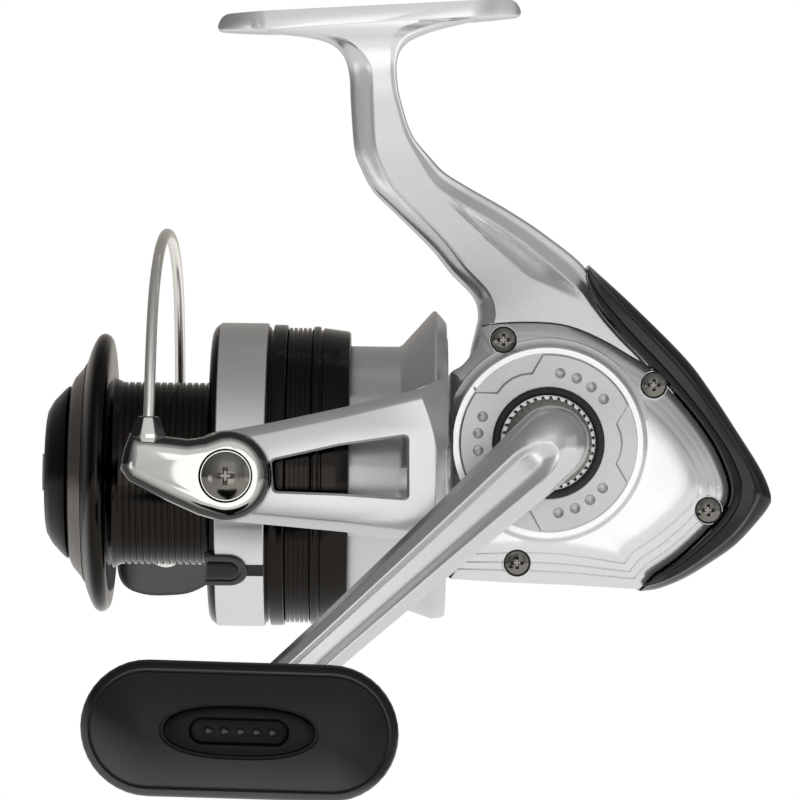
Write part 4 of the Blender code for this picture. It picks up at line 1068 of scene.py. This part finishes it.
def make_bail_wire():
    """Wire hoop over the spool's front, with the cone that leads the line to the roller."""
    path = [(WIRE_X, WIRE_Y, 8.3), (WIRE_X, WIRE_Y, 12)]
    for i in range(41):
        share = i / 40
        angle = radians(172 * (1 - share))
        x = -44.3 + 0.4 * share + 2.3 * smooth_step(0.15, 0.75, share)
        path.append((x, HOOP_R * cos(angle), HOOP_RISE + HOOP_R * sin(angle)))
    tail = smooth_line([(-41.7, HOOP_R, HOOP_RISE), (-41.9, 40.9, 5.6), (-42.4, 38.3, 2.4),
                        (-43, 36.6, -3), (-43.6, 34.6, -9.5), (-44, 33.4, -14.6), (-44, 33.2, -16.6)], 4)
    wire = tube("bail_wire_bent", [(x, y, z + AXIS_Z) for x, y, z in path + tail[1:]], 1.15, 24)
    cone = lathe_y("cone", [(31.8, 0), (31.85, 1.6), (32.2, 2.6), (33.6, 4.1), (34.2, 4.4), (34.9, 4.4),
                            (34.9, 0)], 48, ROLLER_X, ROLLER_Z)
    join(wire, cone)
    place(wire, "bail", "bail_wire", STEEL, 50)


def make_line_roller():
    """Waisted roller that carries the line."""
    roller = lathe_y("line_roller_turned", [(35.2, 1.6), (35.2, 4), (35.4, 4.2), (35.8, 4.2), (36.3, 3.7),
                                            (37, 3.3), (37.8, 3.3), (38.5, 3.7), (39, 4.2), (39.3, 4.2),
                                            (39.5, 4), (39.5, 1.6)], 64, ROLLER_X, ROLLER_Z)
    place(roller, "roller", "line_roller", CHROME, 50)


# ---------------------------------------------------------------- crank and handle

COLLAR_TEETH = 36
COLLAR_R = 9.85
COLLAR_ROOT_R = 9.2


def make_collar():
    """Serrated collar seen inside the seal ring, in the dark nickel as painted shade for its place deep in the
    ring.
    """
    rings = []
    for y, trim in ((-20.4, 0), (-23.2, 0), (-23.5, 0.4), (-23.8, 1.2), (-24.6, 3.6)):
        ring = []
        for i in range(COLLAR_TEETH):
            for part, radius in ((-0.36, COLLAR_R), (-0.14, COLLAR_R), (-0.05, COLLAR_ROOT_R),
                                 (0.42, COLLAR_ROOT_R)):
                ring.append((360 * (i + part) / COLLAR_TEETH, min(radius, COLLAR_R - trim)))
        rings.append(crank_points(ring, 0, y))
    place(loft("handle_collar_cut", rings), "crank", "handle_collar", NICKEL_AND_COLLAR_SHADE, 30)


# Half width of the arm at distances from the elbow; it narrows on to the width at the knob.
ARM_WIDTHS = [(-9, 7.8), (3, 7.7), (20, 6.75), (38, 5.95), (60, 5.2)]
KNOB_END_WIDTH = 4.9
HUB_R = 7.8
ELBOW_R = 1.2
END_ROUND = 5.45
FACE_Y = -50
ARM_SLOPE = 12.4
ARCH_LENGTH = 8
ARCH_SHIFT = 1.6
UPPER_RIDGE = -0.51
LOWER_RIDGE = 0.60
CHANNEL_DEPTH = 1.6
RIDGE_FLAT = 0.30


def arm_width(s, reach):
    """Half width of the arm at a distance from the elbow."""
    stations = ARM_WIDTHS + [(reach, KNOB_END_WIDTH)]
    for (s0, w0), (s1, w1) in zip(stations, stations[1:]):
        if s <= s1:
            return w0 + (w1 - w0) * min(max((s - s0) / (s1 - s0), 0), 1)
    return KNOB_END_WIDTH


def outer_height(s, w, half):
    """Face height outside the ridges: a round dome at the hub that turns into flat flanks."""
    dome = sqrt(max(0, half * half - w * w)) - half
    limit = UPPER_RIDGE * half if w < 0 else LOWER_RIDGE * half
    past = max(abs(w) - abs(limit), 0)
    flank = -1.15 * past - 0.9 * max(past - 0.30 * half, 0)
    blend = smooth_step(0, 8, s)
    return dome * (1 - blend) + flank * blend


def arm_section(s, half):
    """Across and height of the outer face, with columns set on the two ridges."""
    share = min(max(s / ARCH_LENGTH, 0), 1)
    spread = sqrt(1 - (1 - share) ** 2)
    upper = ARCH_SHIFT * (1 - spread) + UPPER_RIDGE * half * spread
    lower = ARCH_SHIFT * (1 - spread) + LOWER_RIDGE * half * spread
    middle = 0.5 * (upper + lower)
    flat = min(RIDGE_FLAT, 0.2 * (middle - upper))
    slope_in = min(0.27 * half, 0.9 * (middle - upper))
    slope_out = min(0.40 * half, 0.9 * (lower - middle))
    top = outer_height(s, upper, half)
    low = outer_height(s, lower, half)
    depth = CHANNEL_DEPTH * smooth_step(0, 5.5, s)
    face = []
    for i in range(11):
        w = -half + (half + upper) * (1 - cos(0.5 * pi * i / 12))
        face.append((w, outer_height(s, w, half)))
    face.append((upper, top))
    corners = [upper + flat, upper + slope_in, lower - slope_out, lower - flat]
    for k in range(3):
        for i in range(6):
            t = i / 6
            w = corners[k] + (corners[k + 1] - corners[k]) * t
            base = top + (low - top) * ((w - upper) / max(lower - upper, 1e-6))
            start = smooth_step(-0.15, 1, 0)
            sunk = (smooth_step(-0.15, 1, t) - start, 1, 1 - smooth_step(0, 1.15, t))[k]
            face.append((w, base - depth * sunk))
    face.append((lower - flat, low))
    for i in range(13):
        w = lower + (half - lower) * sin(0.5 * pi * i / 12)
        face.append((w, outer_height(s, w, half)))
    return face


def arm_back(s, half):
    """Across and height of the back: round at the hub, flatter along the arm."""
    flatten = smooth_step(0, 12, s)
    edge = outer_height(s, half, half)
    back = []
    for i in range(1, 24):
        angle = pi * i / 24
        round_back = -HUB_R - half * sin(angle)
        flat_back = edge + (-6.3 - edge) * sin(angle) ** 0.5
        back.append((half * cos(angle), round_back * (1 - flatten) + flat_back * flatten))
    return back


def arm_stations(hub, direction, run, out, tilt, reach):
    """Centre, outward normal and distance of every section from the hub to the knob."""
    foot = hub + out * 23.6
    elbow = hub + out * (-FACE_Y - HUB_R - ELBOW_R)
    stations = []
    for share in (0, 0.1, 0.3, 0.6, 0.8, 1):
        stations.append((foot + (elbow - foot) * share, -direction, -20))
    steps = 16
    for i in range(1, steps + 1):
        angle = (pi / 2 - tilt) * i / steps
        normal = (-direction * cos(angle) + out * sin(angle)).normalized()
        centre = elbow + (out * sin(angle) + direction * (1 - cos(angle))) * ELBOW_R
        stations.append((centre, normal, -5))
    base, normal, _ = stations[-1]
    lengths = [0, 0.15, 0.35, 0.6, 0.9, 1.3, 1.8, 2.4, 3.1, 3.9, 4.8, 5.8, 6.9, 8, 9.2, 10.6, 12.2, 14]
    lengths += [16 + 2.5 * i for i in range(int((reach - 18) / 2.5))]
    lengths += [reach - 2 + 0.45 * i for i in range(13)]
    for s in lengths:
        stations.append((base + run * s, normal, s))
    return stations


def make_handle_arm():
    """Hub column, elbow and tapered arm swept as one smooth bar."""
    flat = Vector((KNOB_X - CRANK_X, 0, KNOB_Z - CRANK_Z))
    reach = flat.length
    direction = flat.normalized()
    across = Vector((-direction.z, 0, direction.x))
    out = Vector((0, -1, 0))
    tilt = atan2(ARM_SLOPE, reach)
    run = (direction * cos(tilt) + out * sin(tilt)).normalized()
    hub = Vector((CRANK_X, 0, CRANK_Z))
    rings = []
    for centre, normal, s in arm_stations(hub, direction, run, out, tilt, reach):
        half = arm_width(s, reach)
        past = max(s - reach + 2, 0)
        shrink = sqrt(max(0.03, 1 - (past / END_ROUND) ** 2))
        ring = []
        for w, height in arm_section(s, half) + arm_back(s, half):
            ring.append(tuple(centre + across * w * shrink + normal * (HUB_R + height)))
        rings.append(ring)
    arm = loft("handle_arm_forged", rings)
    end_y = FACE_Y - ARM_SLOPE
    boss = lathe_y("boss", [(end_y + 1, 0), (end_y + 1, 4.4), (end_y + 6.6, 4.8), (end_y + 6.6, 0)],
                   48, KNOB_X, KNOB_Z)
    join(arm, boss)
    place(arm, "crank", "handle_arm", ALUMINIUM, 30)


KNOB_TILT = 0.017
TROUGH_Y = -99.1
GRIP_SECTIONS = [
    # width, height, depth
    (12, 11.9, -63.6), (11.2, 11.1, -64.6), (11, 10.9, -66.5), (12.6, 12.2, -70), (18, 14, -73.6),
    (27, 16.4, -76.8), (38, 19, -80.2), (48, 21.9, -84.4), (56, 24.6, -89), (60.6, 26.2, -93),
    (62, 26.7, -95.4), (62, 26.7, -96.4), (61.7, 26.4, -97.3), (61, 25.7, -98), (60, 24.7, -98.45),
    (59, 23.6, -98.6), (58.6, 23.1, -98.5), (58.4, 22.8, -98.1), (58, 22.4, -98.1), (57.7, 22, -98.45),
]


def stadium(width, height, y, sides):
    """Ring with straight long edges and round ends, centred on the knob and tilted a little."""
    radius = height / 2 * 0.995
    reach = width / 2 - radius
    ring = []
    for end in (1, -1):
        for i in range(sides + 1):
            angle = pi * (i / sides - 0.5)
            x = end * (reach + radius * cos(angle))
            z = end * radius * sin(angle)
            ring.append((KNOB_X + x, y, KNOB_Z + z - x * KNOB_TILT))
    return ring


def eye_ring(width, height, y):
    """Ring shaped like an eye, between an ellipse and a rectangle."""
    ring = []
    for i in range(64):
        angle = 2 * pi * i / 64
        c = cos(angle)
        s = sin(angle)
        x = width / 2 * copysign(abs(c) ** 0.78, c)
        z = height / 2 * copysign(abs(s) ** 0.88, s)
        ring.append((KNOB_X + x, y, KNOB_Z + z - x * KNOB_TILT))
    return ring


def make_knob():
    """T-bar grip: a waisted neck, a framed rim and a shallow domed face with the seat of the inlay."""
    rings = [stadium(width, height, y, 20) for width, height, y in GRIP_SECTIONS]
    for i in range(1, 15):
        share = i / 15
        rise = 1 - (1 - share) ** 2
        rings.append(stadium(57.7 - 22 * share, 22 * (1 - share), -98.45 - 1.65 * rise, 20))
    knob = loft("handle_knob_grip", rings)
    cut(knob, loft("eye_seat", [eye_ring(31, 11, y) for y in (-97.6, -104)]))
    place(knob, "knob", "handle_knob", GRIP_BLACK_PAINTED_SHEEN, 30)


def make_knob_inlay():
    """Eye-shaped lens with a long trough that holds five drops."""
    lens = [(29.4, 9.6, -97.4), (29.4, 9.6, -99.2), (29, 9.2, -99.6), (28, 8.4, -99.85),
            (26, 7.4, -100), (23, 6.6, -100.05)]
    inlay = loft("knob_inlay_lens", [eye_ring(width, height, y) for width, height, y in lens])
    trough = [(20, 5.8, -101), (19.6, 5.4, -100.05), (18.4, 4.2, -99.3), (17, 2.6, TROUGH_Y)]
    cut(inlay, loft("trough", [stadium(width, height, y, 12) for width, height, y in trough]))
    place(inlay, "knob", "knob_inlay", INLAY_BLACK, 35)


def make_knob_drops():
    """Five small raised drops along the trough."""
    for number in range(1, 6):
        along = (number - 3) * 3.1
        rings = []
        for share in (0, 0.35, 0.7, 0.92, 1):
            size = sqrt(max(1 - share * share, 0.0004))
            ring = []
            for k in range(20):
                angle = 2 * pi * k / 20
                lean = 0.35 * cos(angle)
                ring.append((KNOB_X + along + (0.95 + lean) * size * cos(angle), TROUGH_Y - 0.75 * share,
                             KNOB_Z - along * KNOB_TILT + 0.8 * size * sin(angle)))
            rings.append(ring)
        place(loft("knob_drop_%d" % number, rings), "knob", None, GLOSS, 50)


def make_cap():
    """Far end cap of the crank, with a coin slot."""
    cap = lathe_crank("handle_cap_turned", [(20.2, 4.05), (20.2, 8.2), (20.6, 8.8), (23.6, 8.6), (24.5, 8),
                                            (25, 7), (25, 0), (23.1, 0), (23.1, 4.05)], 64)
    corners = [(-9.5, -0.8), (9.5, -0.8), (9.5, 0.8), (-9.5, 0.8)]
    cut(cap, plate("coin_slot", [(CRANK_X + x, CRANK_Z + z) for x, z in corners], 24, 27))
    place(cap, "crank", "handle_cap", ALUMINIUM, 30)


# ---------------------------------------------------------------- studio

# Metres below the knob, and the glow of the floor from its left (spool) side to its right.
FLOOR_DROP = 0.30
FLOOR_GLOW = {"From Min": -0.55, "From Max": 0.05, "To Min": 0.36, "To Max": 0.58}
LIGHTS = [
    # name, power, size, place and target in metres
    ("soft_box", 1.2, 1.3, (0.1, -1.9, 0.35), (0, 0, -0.09)),
    ("low_box", 0.46, 0.43, (0.06, -1.05, -0.175), (0.04, 0, -0.10)),
    ("left_box", 0.35, 0.30, (-0.95, -1.2, -0.27), (-0.02, 0, -0.13)),
    ("right_box", 1.8, 1.4, (1.7, -0.7, 0), (0.03, 0, -0.09)),
]
WORLD_RING = [
    # position from straight behind (0) to straight in front (1), brightness
    (0, 0.50), (0.07, 0.28), (0.20, 0.16), (0.50, 0.13), (0.74, 0.17), (0.86, 0.24), (0.92, 0.32),
    (0.965, 0.43), (1, 0.46),
]
SOFT_BOX_RISE = radians(13)
RING_AIM = (0.05, -cos(SOFT_BOX_RISE), sin(SOFT_BOX_RISE))
SKY_AIM = (0.33, 0, 0.94)
SKY_GAIN = (0.30, 1.90)
CAMERA_AT = (3.5, -976, -93.2)
CAMERA_TARGET = (7.7, 0, -84.5)
CAMERA_LENS = 203.3
CAMERA_ROLL = radians(-0.75)


def make_stage():
    """Pale floor well below the reel, glowing more on its right."""
    mesh = bpy.data.meshes.new("floor")
    z = node_box("handle_knob")[0].z * MM - FLOOR_DROP
    mesh.from_pydata([(-4, -4, z), (4, -4, z), (4, 3.2, z), (-4, 3.2, z)], [], [(0, 1, 2, 3)])
    floor = bpy.data.objects.new("floor", mesh)
    bpy.context.scene.collection.objects.link(floor)
    material, tree, shader = base_material("pale_floor", (0.90, 0.90, 0.90), 0.9, 0)
    shader.inputs["Emission Color"].default_value = (1, 0.99, 0.97, 1)
    split = add_node(tree, "SeparateXYZ")
    glow = add_node(tree, "MapRange", FLOOR_GLOW)
    tree.links.new(add_node(tree, "TexCoord").outputs["Object"], split.inputs["Vector"])
    tree.links.new(split.outputs["X"], glow.inputs["Value"])
    tree.links.new(glow.outputs["Result"], shader.inputs["Emission Strength"])
    mesh.materials.append(material)


def make_light(name, power, size, location, target):
    """Square area light that the camera doesn't see."""
    data = bpy.data.lights.new(name, "AREA")
    data.energy = power
    data.size = size
    lamp = bpy.data.objects.new(name, data)
    lamp.location = location
    aim = Vector(target) - Vector(location)
    lamp.rotation_euler = aim.to_track_quat("-Z", "Y").to_euler()
    lamp.visible_camera = False
    bpy.context.scene.collection.objects.link(lamp)


def facing(tree, view, aim, low, high):
    """How far a direction agrees with the aim, mapped from low (away) to high (along it)."""
    agree = add_node(tree, "VectorMath", {1: aim}, "DOT_PRODUCT")
    span = add_node(tree, "MapRange", {"From Min": -1, "From Max": 1, "To Min": low, "To Max": high})
    tree.links.new(view, agree.inputs[0])
    tree.links.new(agree.outputs["Value"], span.inputs["Value"])
    return span.outputs["Result"]


def make_world():
    """Soft box round the camera's side with a dark ring beyond it; the camera itself sees white."""
    world = bpy.data.worlds.new("studio")
    bpy.context.scene.world = world
    world.use_nodes = True
    tree = world.node_tree
    back = tree.nodes["Background"]
    view = add_node(tree, "TexCoord").outputs["Generated"]
    stops = []
    for position, value in WORLD_RING:
        warm = 1 - 0.12 * smooth_step(0.5, 0, position)
        stops.append((position, (value, value * (0.5 + 0.5 * warm), value * warm)))
    lit = add_node(tree, "VectorMath", operation="SCALE")
    add_ramp(tree, facing(tree, view, RING_AIM, 0, 1), stops, lit.inputs[0])
    tree.links.new(facing(tree, view, SKY_AIM, *SKY_GAIN), lit.inputs["Scale"])
    blend = add_node(tree, "MixRGB", {"Color2": (1, 1, 1, 1)})
    tree.links.new(add_node(tree, "LightPath").outputs["Is Camera Ray"], blend.inputs["Fac"])
    tree.links.new(lit.outputs["Vector"], blend.inputs["Color1"])
    tree.links.new(blend.outputs["Color"], back.inputs["Color"])
    back.inputs["Strength"].default_value = 1


def make_camera():
    """The camera stands about a metre off on the handle side, level with the body."""
    data = bpy.data.cameras.new("camera")
    data.sensor_width = 36
    data.lens = CAMERA_LENS
    camera = bpy.data.objects.new("camera", data)
    bpy.context.scene.collection.objects.link(camera)
    place_at = Vector(CAMERA_AT) * MM
    ahead = (Vector(CAMERA_TARGET) * MM - place_at).normalized()
    up = Vector((sin(CAMERA_ROLL), 0, cos(CAMERA_ROLL)))
    right = ahead.cross(up).normalized()
    up = right.cross(ahead).normalized()
    turn = Matrix((right, up, -ahead)).transposed()
    camera.matrix_world = Matrix.Translation(place_at) @ turn.to_4x4()
    bpy.context.scene.camera = camera


def build():
    """Put every piece, the stage and the camera in place."""
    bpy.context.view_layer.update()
    dress_cad_nodes()
    make_housing()
    make_seam_shade_strip()
    make_side_cover()
    make_side_plate()
    make_seal_ring()
    make_guard()
    for number, (x, z) in enumerate(COVER_SCREWS, start=1):
        make_screw("frame", "cover_screw_%d" % number, x, z, face=-18.7, head_r=2.5, shank_r=1.2,
                   length=10.4, dome=0.7, cross=0.60)
    make_spool()
    make_clip()
    make_drag_knob()
    make_rotor()
    make_screw("rotor_assembly", "pivot_screw_near", PIVOT_X, AXIS_Z, face=-45.6,
               head_r=5, shank_r=2.2, length=9.4, dome=1.3, cross=0.44)
    make_bail_lever()
    make_bail_arm()
    make_bail_wire()
    make_line_roller()
    make_collar()
    make_handle_arm()
    make_knob()
    make_knob_inlay()
    make_knob_drops()
    make_cap()
    make_stage()
    make_world()
    for light in LIGHTS:
        make_light(*light)
    make_camera()
    bpy.context.scene.view_settings.view_transform = "Standard"


build()
